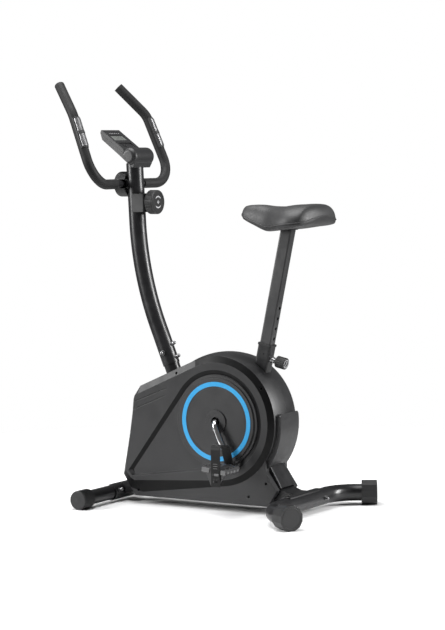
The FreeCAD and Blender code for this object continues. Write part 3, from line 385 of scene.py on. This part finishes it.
def lens_material(name):
    """Grey liquid crystal under a clear lens."""
    g = Graph(name)
    shader = g.shader.inputs
    slow = g.noise(30.0, 2.0)
    g.link(g.mix(g.spread(slow, 0.0, 1.0), (0.115, 0.122, 0.115), (0.15, 0.158, 0.15)),
           shader["Base Color"])
    g.link(g.spread(g.noise(300.0), 0.16, 0.24), shader["Roughness"])
    shader["Coat Weight"].default_value = 0.6
    shader["Coat Roughness"].default_value = 0.05
    return g.material


def belt_material(name):
    g = Graph(name)
    shader = g.shader.inputs
    wave = g.node("ShaderNodeTexWave", bands_direction="Y")
    wave.inputs["Scale"].default_value = 160.0
    wave.inputs["Distortion"].default_value = 0.4
    g.link(g.place, wave.inputs["Vector"])
    dust = g.noise(50.0, 4.0)
    g.link(g.mix(g.spread(dust, 0.0, 0.7), (0.013, 0.013, 0.013), (0.034, 0.033, 0.032)),
           shader["Base Color"])
    g.link(g.spread(dust, 0.52, 0.68), shader["Roughness"])
    g.bump(wave.outputs["Fac"], 0.4, 0.0003)
    return g.material


FINE = (1500.0, 0.18, 0.00012)
PEEL = (260.0, 0.02, 0.00010)
SPARK = (1700.0, 0.30, 0.00018)
CAST = (600.0, 0.3, 0.0002)
YARN = (2500.0, 0.6, 0.0002)

# name: base colour, second colour, roughness, grain, further settings
FINISHES = {
    "black_steel": ((0.009, 0.009, 0.010), (0.013, 0.013, 0.014), 0.33, PEEL,
                    {"edge": 0.0}),
    "seat_post_steel": ((0.026, 0.026, 0.027), (0.034, 0.034, 0.035), 0.36, PEEL,
                        {"coat": 0.15, "specular": 0.6, "edge": 0.0}),
    "housing_plastic": ((0.016, 0.016, 0.017), (0.020, 0.020, 0.021), 0.42, FINE,
                        {"wear_and_edge_highlight": ((0.09, 0.09, 0.09), 0.30), "specular": 0.42}),
    "cover_plastic": ((0.013, 0.013, 0.014), (0.017, 0.017, 0.018), 0.44, FINE,
                      {"wear_and_edge_highlight": ((0.08, 0.08, 0.08), 0.25)}),
    # painted shade: near-black for the sloping housing bands that face away from the light
    "painted_shade_bevel": ((0.003, 0.003, 0.0033), (0.005, 0.005, 0.0053), 0.40, FINE,
                      {"specular": 0.14}),
    "ring_blue": ((0.024, 0.30, 0.61), (0.028, 0.33, 0.66), 0.36, FINE,
                  {"edge": 0.0005}),
    "cap_plastic": ((0.009, 0.009, 0.0095), (0.013, 0.013, 0.0135), 0.46, SPARK,
                    {"wear_and_edge_highlight": ((0.07, 0.07, 0.07), 0.4), "specular": 0.4}),
    "console_plastic": ((0.016, 0.016, 0.017), (0.021, 0.021, 0.022), 0.40, FINE,
                        {"wear_and_edge_highlight": ((0.10, 0.10, 0.10), 0.3), "specular": 0.42}),
    "sensor_plastic": ((0.022, 0.022, 0.023), (0.030, 0.030, 0.031), 0.48, SPARK, {}),
    "pedal_plastic": ((0.022, 0.022, 0.023), (0.032, 0.032, 0.033), 0.44, SPARK,
                      {"wear_and_edge_highlight": ((0.14, 0.14, 0.14), 0.5)}),
    "strap_rubber": ((0.004, 0.004, 0.004), (0.007, 0.007, 0.007), 0.46, PEEL,
                     {"specular": 0.22, "edge": 0.0}),
    # pale grey, partly painted highlight: the pedal's end blocks stand in for highlights on its
    # ends
    "pedal_grey_and_highlight": ((0.09, 0.09, 0.092), (0.13, 0.13, 0.132), 0.36, SPARK,
                   {"wear_and_edge_highlight": ((0.30, 0.30, 0.30), 0.5), "edge": 0.0}),
    "flywheel_iron": ((0.12, 0.12, 0.125), (0.16, 0.16, 0.165), 0.38, CAST,
                      {"metallic": 1.0}),
    "thread": ((0.045, 0.045, 0.046), (0.060, 0.060, 0.061), 0.7, YARN,
               {"edge": 0.0, "sheen": 0.2}),
    "mark_pale": ((0.46, 0.46, 0.47), (0.52, 0.52, 0.53), 0.4, FINE, {"edge": 0.0}),
    # near-black: painted shade in holes and recesses, and the display's printed figures
    "hollow_shade_and_print_black": ((0.004, 0.004, 0.004), (0.006, 0.006, 0.006), 0.7, FINE,
                     {"edge": 0.0}),
}


def make_materials():
    made = {name: finish_material(name, base, tint, rough, grain, **more)
            for name, (base, tint, rough, grain, more) in FINISHES.items()}
    made["fastener_steel"] = brushed_metal("fastener_steel", (0.23, 0.23, 0.235), 0.30,
                                           (1.0, 1.0, 1.0), 0.3)
    made["sensor_metal"] = brushed_metal("sensor_metal", (0.52, 0.52, 0.53), 0.28,
                                         (1.0, 1.0, 0.05), 0.03)
    made["chrome"] = brushed_metal("chrome", (0.78, 0.78, 0.79), 0.09,
                                   (1.0, 1.0, 1.0), 0.02, 40.0)
    made["screen"] = lens_material("screen")
    made["grip_foam"] = grip_material("grip_foam")
    made["saddle_vinyl"] = saddle_material("saddle_vinyl")
    made["belt"] = belt_material("belt")
    return made


MATERIALS = make_materials()

# the sloping bands of the housing that take painted shade: how far their normals lean, and the
# lit part left bright
BAND_LOW, BAND_HIGH = 0.80, 0.975
LIT_RISE, LIT_FROM_X = 0.12, 0.02


def even_shading(obj):
    """Area-weighted normals, so that slim facets of curved faces don't show."""
    mesh = obj.data
    if "custom_normal" in mesh.attributes:
        mesh.attributes.remove(mesh.attributes["custom_normal"])
    for face in mesh.polygons:
        face.use_smooth = True
    mesh.set_sharp_from_angle(angle=CREASE)
    weighted = obj.modifiers.new("weighted", "WEIGHTED_NORMAL")
    weighted.mode = "FACE_AREA_WITH_ANGLE"
    weighted.keep_sharp = True


def paint_shade_on_bevels(obj):
    """Painted shade: the sloping bands round the raised side face, all but their lit top front
    edge, take a near-black material.
    """
    obj.data.materials.append(MATERIALS["painted_shade_bevel"])
    for face in obj.data.polygons:
        sloping = BAND_LOW < abs(face.normal.y) < BAND_HIGH
        lit_edge = face.normal.z > LIT_RISE and face.center.x > LIT_FROM_X
        if sloping and not lit_edge:
            face.material_index = 1


def dress_nodes():
    """Every CAD node takes the material of its own slot, except the drive belt and the housing
    screws, which take finishes of their own.
    """
    slot_of = {entry["node"]: entry["material_slot"] for entry in frame["record"]["subparts"]}
    # the housing screws take the near-black used for painted shade in hollows
    own_finish = {"drive_belt": "belt", "shell_screws": "hollow_shade_and_print_black"}
    for name, obj in nodes.items():
        finish = own_finish.get(name, slot_of[name])
        obj.data.materials.clear()
        obj.data.materials.append(MATERIALS[finish])
        even_shading(obj)
    # painted shade on the sloping bands of both shells
    for name in ("left_shell", "right_shell"):
        paint_shade_on_bevels(nodes[name])


# Saddle

# share of the length from the nose, half width, top height, bottom height, all as shares
SADDLE_ROWS = [(0.000, 0.134, 0.771, 0.571), (0.064, 0.268, 0.929, 0.414),
               (0.223, 0.375, 0.971, 0.186), (0.394, 0.536, 0.914, 0.000),
               (0.549, 0.821, 0.914, 0.014), (0.723, 1.000, 0.986, 0.100),
               (0.875, 0.964, 1.000, 0.171), (0.966, 0.768, 0.943, 0.271),
               (1.000, 0.518, 0.800, 0.429)]
# half of the cross-section: across and up, as shares
HALF_SECTION = [(0.00, 0.975), (0.16, 0.995), (0.34, 0.990), (0.52, 0.945), (0.70, 0.850),
                (0.84, 0.710), (0.935, 0.540), (0.985, 0.360), (1.00, 0.200), (0.985, 0.080),
                (0.930, 0.010), (0.80, 0.000), (0.55, 0.010), (0.28, 0.015), (0.00, 0.015)]
SEAM_INDEX = 8
NOSE_ROUND, TAIL_ROUND = 0.060, 0.090
END_STEPS, BODY_STEPS = 7, 44
END_FULLNESS = 0.6
SHRINK_LEVEL = 0.42
WELT_THICK, WELT_LIFT = 0.0016, 0.0004
THREAD_THICK, STITCH_PITCH, STITCH_LIFT = 0.00045, 0.0048, 0.0006
STITCH_START, STITCH_END = 0.15, 0.80
STITCH_DROP = 0.45


def smooth_row(u):
    """Smooth value of the saddle table at a share of the length."""
    rows = SADDLE_ROWS
    k = 0
    while k < len(rows) - 2 and u > rows[k + 1][0]:
        k += 1
    before = rows[max(k - 1, 0)]
    a, b = rows[k], rows[k + 1]
    after = rows[min(k + 2, len(rows) - 1)]
    step = b[0] - a[0]
    t = (u - a[0]) / step
    out = []
    for i in (1, 2, 3):
        slope_a = (b[i] - before[i]) / max(b[0] - before[0], 1e-6) * step
        slope_b = (after[i] - a[i]) / max(after[0] - a[0], 1e-6) * step
        h = ((2 * t ** 3 - 3 * t ** 2 + 1) * a[i] + (t ** 3 - 2 * t ** 2 + t) * slope_a
             + (3 * t ** 2 - 2 * t ** 3) * b[i] + (t ** 3 - t ** 2) * slope_b)
        out.append(h)
    return out


def saddle_stations():
    """Places along the saddle, with the share to which each section is shrunk."""
    ends = []
    for k in range(END_STEPS):
        a = math.pi / 2 * (k + 0.5) / END_STEPS
        ends.append((1 - math.cos(a), math.sin(a) ** END_FULLNESS))
    body = 1 - NOSE_ROUND - TAIL_ROUND
    stations = [(NOSE_ROUND * share, shrink) for share, shrink in ends]
    stations += [(NOSE_ROUND + body * k / BODY_STEPS, 1.0) for k in range(BODY_STEPS + 1)]
    stations += [(1 - TAIL_ROUND * share, shrink) for share, shrink in reversed(ends)]
    return stations


def saddle_sections():
    """Closed cross-sections from nose to tail, rounded off at both ends."""
    low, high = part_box("saddle")
    length = high.x - low.x
    half_all = (high.y - low.y) / 2
    rise = high.z - low.z
    shape = HALF_SECTION + [(-y, z) for y, z in reversed(HALF_SECTION[1:-1])]
    sections = []
    for u, shrink in saddle_stations():
        half, top, bottom = smooth_row(u)
        half *= half_all
        top_z = low.z + top * rise
        low_z = low.z + bottom * rise
        middle = low_z + (top_z - low_z) * SHRINK_LEVEL
        x = high.x - u * length
        ring = []
        for y, z in shape:
            height = low_z + (top_z - low_z) * z
            ring.append(Vector((x, y * half * shrink, middle + (height - middle) * shrink)))
        sections.append(ring)
    return sections


def make_cushion(sections):
    bm = bmesh.new()
    rings = [[bm.verts.new(p) for p in section] for section in sections]
    for a, b in zip(rings, rings[1:]):
        bridge(bm, a, b)
    for ring, side in ((rings[0], 1), (rings[-1], -1)):
        middle = sum((v.co for v in ring), Vector()) / len(ring)
        closed_fan(bm, ring, bm.verts.new(middle + X_AXIS * STITCH_LIFT * side))
    cushion = to_object(bm, "saddle_cushion", "seat", "saddle_vinyl")
    smooth = cushion.modifiers.new("round", "SUBSURF")
    smooth.levels = 2
    smooth.render_levels = 2
    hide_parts("saddle")


def make_welt(loop):
    """Cord round the saddle's lower edge."""
    middle = sum(loop, Vector()) / len(loop)
    welt = []
    for p in loop:
        out = Vector((p.x - middle.x, p.y - middle.y, 0)).normalized()
        welt.append(p + out * WELT_LIFT)
    bm = bmesh.new()
    tube(bm, welt, WELT_THICK, 8, closed=True)
    to_object(bm, "saddle_welt", "seat", "saddle_vinyl")


def stitch_line(bm, line):
    for a, b in zip(line, line[1:]):
        pieces = max(1, int((b - a).length / STITCH_PITCH))
        for k in range(pieces):
            p = a.lerp(b, (k + STITCH_START) / pieces)
            q = a.lerp(b, (k + STITCH_END) / pieces)
            out = Vector((0, math.copysign(1.0, p.y), 0.25)).normalized()
            tube(bm, [p, p.lerp(q, 0.5) + out * STITCH_LIFT, q], THREAD_THICK, 5)


def make_saddle():
    """Padded vinyl cushion with a rolled lower edge, a welt and a line of stitches."""
    sections = saddle_sections()
    make_cushion(sections)
    other = len(sections[0]) - SEAM_INDEX
    make_welt([s[SEAM_INDEX] for s in sections] + [s[other] for s in reversed(sections)])
    bm = bmesh.new()
    for row, seam in ((SEAM_INDEX - 1, SEAM_INDEX), (other + 1, other)):
        stitch_line(bm, [s[row] * STITCH_DROP + s[seam] * (1 - STITCH_DROP)
                         for s in sections[4:-4]])
    to_object(bm, "saddle_stitches", "seat", "thread")


# Wheels, caps and knobs

WHEEL_STEPS = 144
FLUTE_DEPTH = 0.0011
BORE_GAP = 0.00005
BORE_END = -0.0055


def wheel_ring(bm, centre, radius, flute=0.0):
    """Ring round a wheel's axis; every third point dips by the flute."""
    ring = section_ring(bm, centre, X_AXIS, Z_AXIS, radius, WHEEL_STEPS)
    for vert in ring[::3]:
        vert.co += (centre - vert.co).normalized() * flute
    return ring


def make_front_wheels():
    """Ribbed end caps: the fine flutes run round the tread, the outer face is dished."""
    tube_low, tube_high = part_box("front_stabilizer")
    bore = (tube_high.z - tube_low.z) / 2 + BORE_GAP
    for side, name in SIDES:
        node = "front_" + name + "_wheel"
        low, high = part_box(node)
        radius = (high.z - low.z) / 2
        depth = high.y - low.y
        face = Vector(((low.x + high.x) / 2, high.y if side > 0 else low.y,
                       (low.z + high.z) / 2))
        profile = [(-depth, 0.785), (-depth, 0.955), (-depth + 0.0015, 1.0), (-0.0030, 1.0),
                   (-0.0009, 0.962), (-0.0009, 0.925), (0.0, 0.890), (0.0, 0.30)]
        bm = bmesh.new()
        rings = [wheel_ring(bm, face + Y_AXIS * along * side, radius * share,
                            FLUTE_DEPTH if share == 1.0 else 0.0)
                 for along, share in profile]
        tip = bm.verts.new(face + Y_AXIS * 0.0004 * side)
        inner = [wheel_ring(bm, face + Y_AXIS * along * side, bore)
                 for along in (-depth, BORE_END)]
        for a, b in zip(rings, rings[1:]):
            bridge(bm, a, b)
        closed_fan(bm, rings[-1], tip)
        bridge(bm, rings[0], inner[0])
        bridge(bm, inner[0], inner[1])
        bm.faces.new(inner[1])
        wheel = to_object(bm, "ribbed_wheel_" + name, frame_body(node), "cap_plastic",
                          smooth=False)
        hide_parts(node)


def frame_body(node):
    return nodes[node]["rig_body"]


MARK_THICK = 0.0009
ARC_SPANS = ((40, 140), (220, 320))
ARC_STEPS = 24
ARC_RADIUS, ARC_HALF_WIDTH = 0.46, 0.05


def arc_outline(centre, radius, start, stop):
    """Sickle-shaped outline on a face that looks along X."""
    outer = []
    inner = []
    for k in range(ARC_STEPS + 1):
        a = math.radians(start + (stop - start) * k / ARC_STEPS)
        swell = ARC_HALF_WIDTH * (0.5 + 0.5 * math.sin(math.pi * k / ARC_STEPS))
        round_at = Vector((0, math.cos(a), math.sin(a)))
        outer.append(centre + round_at * radius * (ARC_RADIUS + swell))
        inner.append(centre + round_at * radius * (ARC_RADIUS - swell))
    return outer + list(reversed(inner))


def make_tension_marks():
    """Generic arcs and a cross on the tension knob's face, with a raised rim."""
    low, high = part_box("tension_knob")
    centre = Vector((low.x, (low.y + high.y) / 2, (low.z + high.z) / 2))
    radius = (high.z - low.z) / 2
    bm = bmesh.new()
    torus(bm, centre - X_AXIS * 0.0001, X_AXIS, radius * 0.80, 0.0009, 96, 8)
    to_object(bm, "tension_knob_rim", "tension_knob", "cap_plastic")
    face = centre - X_AXIS * 0.0005
    bm = bmesh.new()
    for start, stop in ARC_SPANS:
        flat_prism(bm, arc_outline(face, radius, start, stop), X_AXIS * MARK_THICK)
    for along, across in ((Z_AXIS, Y_AXIS), (Y_AXIS, Z_AXIS)):
        slab(bm, face + X_AXIS * 0.0004, along, across, X_AXIS,
             (radius * 0.30, radius * 0.07, MARK_THICK))
    to_object(bm, "tension_knob_mark", "tension_knob", "mark_pale", smooth=False)


SEAT_LEAN = math.radians(12.5)
CAP_BEND = math.radians(62.0)
FACE_TOLERANCE = 0.0002


def make_pin_face():
    """Pale ring and bar on the face of the seat pin's knob."""
    low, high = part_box("pin_knob")
    axis = Vector((-math.cos(SEAT_LEAN), 0, -math.sin(SEAT_LEAN)))
    middle = (low + high) / 2
    radius = (high.y - low.y) / 2
    corners = [v.co.dot(axis) for v in nodes["pin_knob"].data.vertices]
    face = middle + axis * (max(corners) - middle.dot(axis))
    up = axis.cross(Y_AXIS).normalized()
    bm = bmesh.new()
    torus(bm, face + axis * 0.0001, axis, radius * 0.66, 0.0009, 72, 8)
    slab(bm, face + axis * 0.0003, up + Y_AXIS * 0.5, up.cross(axis), axis,
         (radius * 0.95, radius * 0.14, 0.0010))
    to_object(bm, "pin_knob_mark", "seat_pin", "mark_pale", smooth=True)


def make_rear_cap_faces():
    """Raised rim on each twelve-sided rear cap."""
    for side, name in SIDES:
        node = "rear_" + name + "_foot"
        out = Vector((-math.sin(CAP_BEND), side * math.cos(CAP_BEND), 0))
        verts = [v.co for v in nodes[node].data.vertices]
        reach = max(v.dot(out) for v in verts)
        face = [v for v in verts if v.dot(out) > reach - FACE_TOLERANCE]
        centre = sum(face, Vector()) / len(face)
        radius = max((v - centre).length for v in face)
        bm = bmesh.new()
        torus(bm, centre, out, radius * 0.80, 0.0008, 72, 8)
        to_object(bm, "rear_cap_trim_" + name, frame_body(node), "cap_plastic")


# Console

CONSOLE_SLOPE = Vector((-80.0, 0, -56.0)).normalized()
CONSOLE_NORMAL = Vector((CONSOLE_SLOPE.z, 0, -CONSOLE_SLOPE.x)).normalized()
BEZEL_WIDTH, BEZEL_THICK = 0.0018, 0.0016
DIGIT, DIGIT_BAR, DIGIT_THICK = 0.0062, 0.0010, 0.0002
DIGIT_PLACES = (-1.65, -0.55, 0.75, 1.85)


def console_slab(bm, centre, wide, size):
    """Block on the display, its first size along the width or along the slope."""
    pair = (Y_AXIS, CONSOLE_SLOPE) if wide else (CONSOLE_SLOPE, Y_AXIS)
    slab(bm, centre, *pair, CONSOLE_NORMAL, size)


def make_bezel(centre, half_w, half_h):
    bm = bmesh.new()
    lifted = centre + CONSOLE_NORMAL * 0.0004
    for sign in (-1, 1):
        console_slab(bm, lifted + CONSOLE_SLOPE * (half_h - 0.0005) * sign, True,
                     (2 * half_w, BEZEL_WIDTH, BEZEL_THICK))
        console_slab(bm, lifted + Y_AXIS * (half_w - 0.0009) * sign, False,
                     (2 * half_h, BEZEL_WIDTH, BEZEL_THICK))
    bezel = to_object(bm, "display_bezel", "frame", "console_plastic", smooth=False)
    bevelled(bezel, 0.0004)


def make_figures(centre):
    """Four segment figures and a colon."""
    bm = bmesh.new()
    for place in DIGIT_PLACES:
        c = centre - Y_AXIS * place * DIGIT * 1.45
        for row in (-1, 1):
            console_slab(bm, c + CONSOLE_SLOPE * DIGIT * row, True,
                         (DIGIT * 0.9, DIGIT_BAR, DIGIT_THICK))
        for column in (-1, 1):
            for row in (-1, 1):
                console_slab(bm, c + Y_AXIS * DIGIT * 0.55 * column
                             + CONSOLE_SLOPE * DIGIT * 0.5 * row, False,
                             (DIGIT * 0.8, DIGIT_BAR, DIGIT_THICK))
    for row in (-0.4, 0.4):
        console_slab(bm, centre - Y_AXIS * 0.1 * DIGIT + CONSOLE_SLOPE * DIGIT * row, True,
                     (DIGIT_BAR, DIGIT_BAR, DIGIT_THICK))
    to_object(bm, "display_figures", "frame", "hollow_shade_and_print_black", smooth=False)


def make_console_details():
    """Raised bezel round the display, segment figures, printed dashes and a button ring."""
    low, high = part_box("console_screen")
    co = [v.co for v in nodes["console_screen"].data.vertices]
    reach = max(v.dot(CONSOLE_NORMAL) for v in co)
    along = [v.dot(CONSOLE_SLOPE) for v in co if v.dot(CONSOLE_NORMAL) > reach - 0.0003]
    centre = (CONSOLE_SLOPE * ((min(along) + max(along)) / 2) + CONSOLE_NORMAL * reach
              + Y_AXIS * (low.y + high.y) / 2)
    half_w = (high.y - low.y) / 2
    half_h = (max(along) - min(along)) / 2
    make_bezel(centre, half_w, half_h)
    make_figures(centre)
    marks_at = centre - CONSOLE_SLOPE * (half_h + 0.0075) + CONSOLE_NORMAL * 0.0029
    bm = bmesh.new()
    for k in range(-2, 3):
        console_slab(bm, marks_at + Y_AXIS * k * 0.011, True, (0.0055, 0.0011, 0.0004))
    to_object(bm, "display_marks", "frame", "mark_pale", smooth=False)
    low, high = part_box("console_button")
    middle = (low + high) / 2
    radius = (high.y - low.y) / 2
    top = max(v.co.dot(CONSOLE_NORMAL) for v in nodes["console_button"].data.vertices)
    face = middle + CONSOLE_NORMAL * (top - middle.dot(CONSOLE_NORMAL))
    bm = bmesh.new()
    torus(bm, face, CONSOLE_NORMAL, radius * 0.72, 0.0004, 48, 8)
    to_object(bm, "button_ring", "console_button", "console_plastic")


# Pedals

PEDAL_TILT = math.radians(6)
PEDAL_ENDS = ((0.0315, 0.025), (-0.0255, 0.015))
PEDAL_TREADS = (0.0445, -0.0325)
TREAD_INSETS = (0.014, 0.031, 0.048, 0.065)
BUCKLE_RISE, HOLE_RISE, RIDGE_RISE, RIDGE_PITCH = 0.0345, 0.0210, 0.052, 0.0065
HOLE_RADIUS, HOLE_DEPTH = 0.0026, 0.0006


def make_pedal_blocks(name, side):
    """Pale grey end blocks, painted highlight on the pedal's ends, and tread blocks of a pedal.
    """
    joint = [j for j in frame["record"]["behaviour"]["joints"]
             if j["name"] == name + "_pedal_spin"][0]
    axis = Vector(joint["pos_m"])
    low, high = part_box(name + "_pedal")
    ahead = Vector((math.cos(PEDAL_TILT), 0, math.sin(PEDAL_TILT))) * side
    up = Vector((-math.sin(PEDAL_TILT), 0, math.cos(PEDAL_TILT))) * side
    out = Y_AXIS * side
    origin = Vector((axis.x, (high.y if side > 0 else low.y) - side * 0.0050, axis.z))
    bm = bmesh.new()
    for reach, length in PEDAL_ENDS:
        slab(bm, origin + ahead * reach + up * 0.0005 + out * 0.0012, ahead, up, out,
             (length, 0.0125, 0.0032))
    for reach in PEDAL_TREADS:
        for inset in TREAD_INSETS:
            slab(bm, origin + ahead * reach - out * inset, out, up, ahead,
                 (0.010, 0.0070, 0.0040))
    blocks = to_object(bm, name + "_pedal_blocks", name + "_pedal", "pedal_grey_and_highlight",
                       smooth=False)
    bevelled(blocks, 0.0012, 3)


def make_strap_details(name, side):
    """Buckle, ridges, slot and holes on a strap's outer face; the slot and holes are near-black
    pieces, painted shade.
    """
    low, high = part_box(name + "_strap")
    face = Vector(((low.x + high.x) / 2, high.y if side > 0 else low.y,
                   low.z if side > 0 else high.z))
    rise = Z_AXIS * side
    out = Y_AXIS * side
    body = name + "_pedal"
    bm = bmesh.new()
    slab(bm, face + rise * BUCKLE_RISE - X_AXIS * 0.0035 + out * 0.0008, X_AXIS, rise, out,
         (0.0150, 0.0060, 0.0020))
    for k in range(3):
        slab(bm, face + rise * (RIDGE_RISE + RIDGE_PITCH * k) + out * 0.0003, X_AXIS, rise,
             out, (0.0140, 0.0012, 0.0010))
    bevelled(to_object(bm, name + "_strap_buckle", body, "pedal_grey_and_highlight", smooth=False), 0.0006)
    bm = bmesh.new()
    slab(bm, face + rise * BUCKLE_RISE + X_AXIS * 0.0085 + out * 0.0002, X_AXIS, rise, out,
         (0.0060, 0.0062, HOLE_DEPTH))
    for sign in (-1, 1):
        lathe(bm, face + rise * HOLE_RISE + X_AXIS * 0.0045 * sign - out * 0.0001, out,
              [(0.0, 0.0), (0.0, HOLE_RADIUS), (HOLE_DEPTH, HOLE_RADIUS), (HOLE_DEPTH, 0.0)],
              24)
    to_object(bm, name + "_strap_holes", body, "hollow_shade_and_print_black", smooth=False)


def make_pedal_details():
    """The same details on both pedals, the right ones turned half a turn."""
    for side, name in SIDES:
        make_pedal_blocks(name, side)
        make_strap_details(name, side)


# Screws, welds and seams

HEAD_SPACING = 0.012
RECESS_TURNS = (25, 115)
WELD_THICK, WELD_STEP, WELD_RIPPLE = 0.0013, 0.0016, 0.16
WELD_START, WELD_SWEEP, WELD_POINTS = -12, 118, 15


def screw_tips(side):
    """Middle of the outer face of each screw head on one side."""
    verts = [v.co for v in nodes["shell_screws"].data.vertices if v.co.y * side > 0]
    reach = max(v.y * side for v in verts)
    clusters = []
    for v in verts:
        if v.y * side <= reach - 0.0001:
            continue
        for cluster in clusters:
            if (cluster[0] - v).length < HEAD_SPACING:
                cluster.append(v)
                break
        else:
            clusters.append([v])
    return [sum(cluster, Vector()) / len(cluster) for cluster in clusters]


def make_screw_recesses():
    """Cross recess in the head of each housing screw, drawn as near-black slabs on the head:
    painted shade.
    """
    bm = bmesh.new()
    for side in (1, -1):
        out = Y_AXIS * side
        for tip in screw_tips(side):
            for turn in RECESS_TURNS:
                a = math.radians(turn)
                d = Vector((math.cos(a), 0, math.sin(a)))
                slab(bm, tip + out * 0.00005, d, d.cross(out), out,
                     (0.0042, 0.0009, 0.0003))
    to_object(bm, "screw_recesses", "frame", "hollow_shade_and_print_black", smooth=False)


def weld(bm, points):
    """Rippled weld bead along points."""
    fine = []
    for a, b in zip(points, points[1:]):
        steps = max(1, int((b - a).length / WELD_STEP))
        fine += [a.lerp(b, m / steps) for m in range(steps)]
    fine.append(points[-1])
    tube(bm, fine, WELD_THICK, 6, ripple=WELD_RIPPLE)


def make_welds():
    """Beads where the rear stabilizer lies in its cradle."""
    low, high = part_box("rear_stabilizer")
    radius = (high.z - low.z) / 2
    centre = Vector((high.x - radius, 0, (low.z + high.z) / 2))
    cradle_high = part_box("rear_bracket")[1]
    bm = bmesh.new()
    for side in (-1, 1):
        arc = []
        for k in range(WELD_POINTS):
            a = math.radians(WELD_START + WELD_SWEEP * k / (WELD_POINTS - 1))
            out = Vector((math.cos(a), 0, math.sin(a)))
            arc.append(centre + out * (radius + 0.0016)
                       + Y_AXIS * (cradle_high.y - 0.0004) * side)
        weld(bm, arc)
    to_object(bm, "cradle_welds", "frame", "black_steel")


def make_seams():
    """Raised beads on the round covers."""
    for side, name in SIDES:
        low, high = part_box(name + "_round_cover")
        centre = Vector(((low.x + high.x) / 2, high.y if side > 0 else low.y,
                         (low.z + high.z) / 2))
        radius = (high.z - low.z) / 2
        bm = bmesh.new()
        for share, depth, thick in ((0.72, 0.0002, 0.0006), (0.965, 0.0042, 0.0009)):
            torus(bm, centre - Y_AXIS * side * depth, Y_AXIS, radius * share, thick, 160, 8)
        to_object(bm, "cover_bead_" + name, "frame", "cover_plastic")


# Studio

EYE = (-3.209, 5.153, 1.031)
YAW, PITCH, ROLL = 0.5511, 0.0776, -0.0128
LENS, SENSOR = 120.11, 36.0


def make_camera():
    """Long lens at eye height of the seat, from the left rear."""
    ahead = Vector((math.sin(YAW) * math.cos(PITCH), -math.cos(YAW) * math.cos(PITCH),
                    -math.sin(PITCH)))
    right = ahead.cross(Z_AXIS).normalized()
    up = right.cross(ahead)
    rolled_right = right * math.cos(ROLL) + up * math.sin(ROLL)
    rolled_up = up * math.cos(ROLL) - right * math.sin(ROLL)
    data = bpy.data.cameras.new("camera")
    data.lens = LENS
    data.sensor_width = SENSOR
    data.clip_end = 60.0
    cam = bpy.data.objects.new("camera", data)
    bpy.context.scene.collection.objects.link(cam)
    turn = Matrix((rolled_right, rolled_up, -ahead)).transposed().to_4x4()
    cam.matrix_world = Matrix.Translation(Vector(EYE)) @ turn
    bpy.context.scene.camera = cam


def make_light(name, location, target, size, size_y, power):
    data = bpy.data.lights.new(name, "AREA")
    data.shape = "RECTANGLE"
    data.size = size
    data.size_y = size_y
    data.energy = power
    obj = bpy.data.objects.new(name, data)
    bpy.context.scene.collection.objects.link(obj)
    obj.location = location
    direction = Vector(target) - Vector(location)
    obj.rotation_euler = direction.to_track_quat("-Z", "Y").to_euler()


def make_world():
    """White behind the object; a dimmer room for light and reflections."""
    world = bpy.data.worlds.new("studio")
    bpy.context.scene.world = world
    world.use_nodes = True
    tree = world.node_tree
    back = tree.nodes["Background"]
    back.inputs["Color"].default_value = (1.0, 1.0, 1.0, 1.0)
    path = tree.nodes.new("ShaderNodeLightPath")
    level = tree.nodes.new("ShaderNodeMapRange")
    level.inputs["To Min"].default_value = 0.12
    level.inputs["To Max"].default_value = 1.0
    tree.links.new(path.outputs["Is Camera Ray"], level.inputs["Value"])
    tree.links.new(level.outputs["Result"], back.inputs["Strength"])


FLOOR_HALF = 4.0
FADE_START, FADE_END = 0.75, 1.9
LOOK_AT = (0.0, 0.0, 0.5)
LIGHTS = (("top", (0.4, 0.3, 3.4), 2.6, 2.0, 130), ("front", (3.0, 2.7, 1.9), 1.0, 2.4, 190),
          ("rear", (-3.7, -1.5, 1.7), 0.8, 2.4, 230))


def make_floor():
    """Pale floor that fades out away from the object."""
    g = Graph("floor")
    g.link(g.mix(g.spread(g.noise(3.0), 0.0, 1.0), (0.93, 0.93, 0.93), (0.95, 0.95, 0.95)),
           g.shader.inputs["Base Color"])
    g.link(g.spread(g.noise(40.0), 0.50, 0.60), g.shader.inputs["Roughness"])
    distance = g.node("ShaderNodeVectorMath", operation="LENGTH")
    g.link(g.place, distance.inputs[0])
    g.link(g.spread(distance.outputs["Value"], 1.0, 0.0, FADE_START, FADE_END),
           g.shader.inputs["Alpha"])
    bm = bmesh.new()
    bm.faces.new([bm.verts.new((x * FLOOR_HALF, y * FLOOR_HALF, 0))
                  for x, y in ((-1, -1), (1, -1), (1, 1), (-1, 1))])
    mesh = bpy.data.meshes.new("floor")
    bm.to_mesh(mesh)
    bm.free()
    floor = bpy.data.objects.new("floor", mesh)
    bpy.context.scene.collection.objects.link(floor)
    floor.data.materials.append(g.material)


def make_studio():
    make_world()
    make_floor()
    for name, location, size, size_y, power in LIGHTS:
        make_light(name, location, LOOK_AT, size, size_y, power)
    bpy.context.scene.view_settings.view_transform = "Standard"


make_camera()
dress_nodes()
make_saddle()
make_front_wheels()
make_tension_marks()
make_pin_face()
make_rear_cap_faces()
make_console_details()
make_pedal_details()
make_screw_recesses()
make_welds()
make_seams()
make_studio()
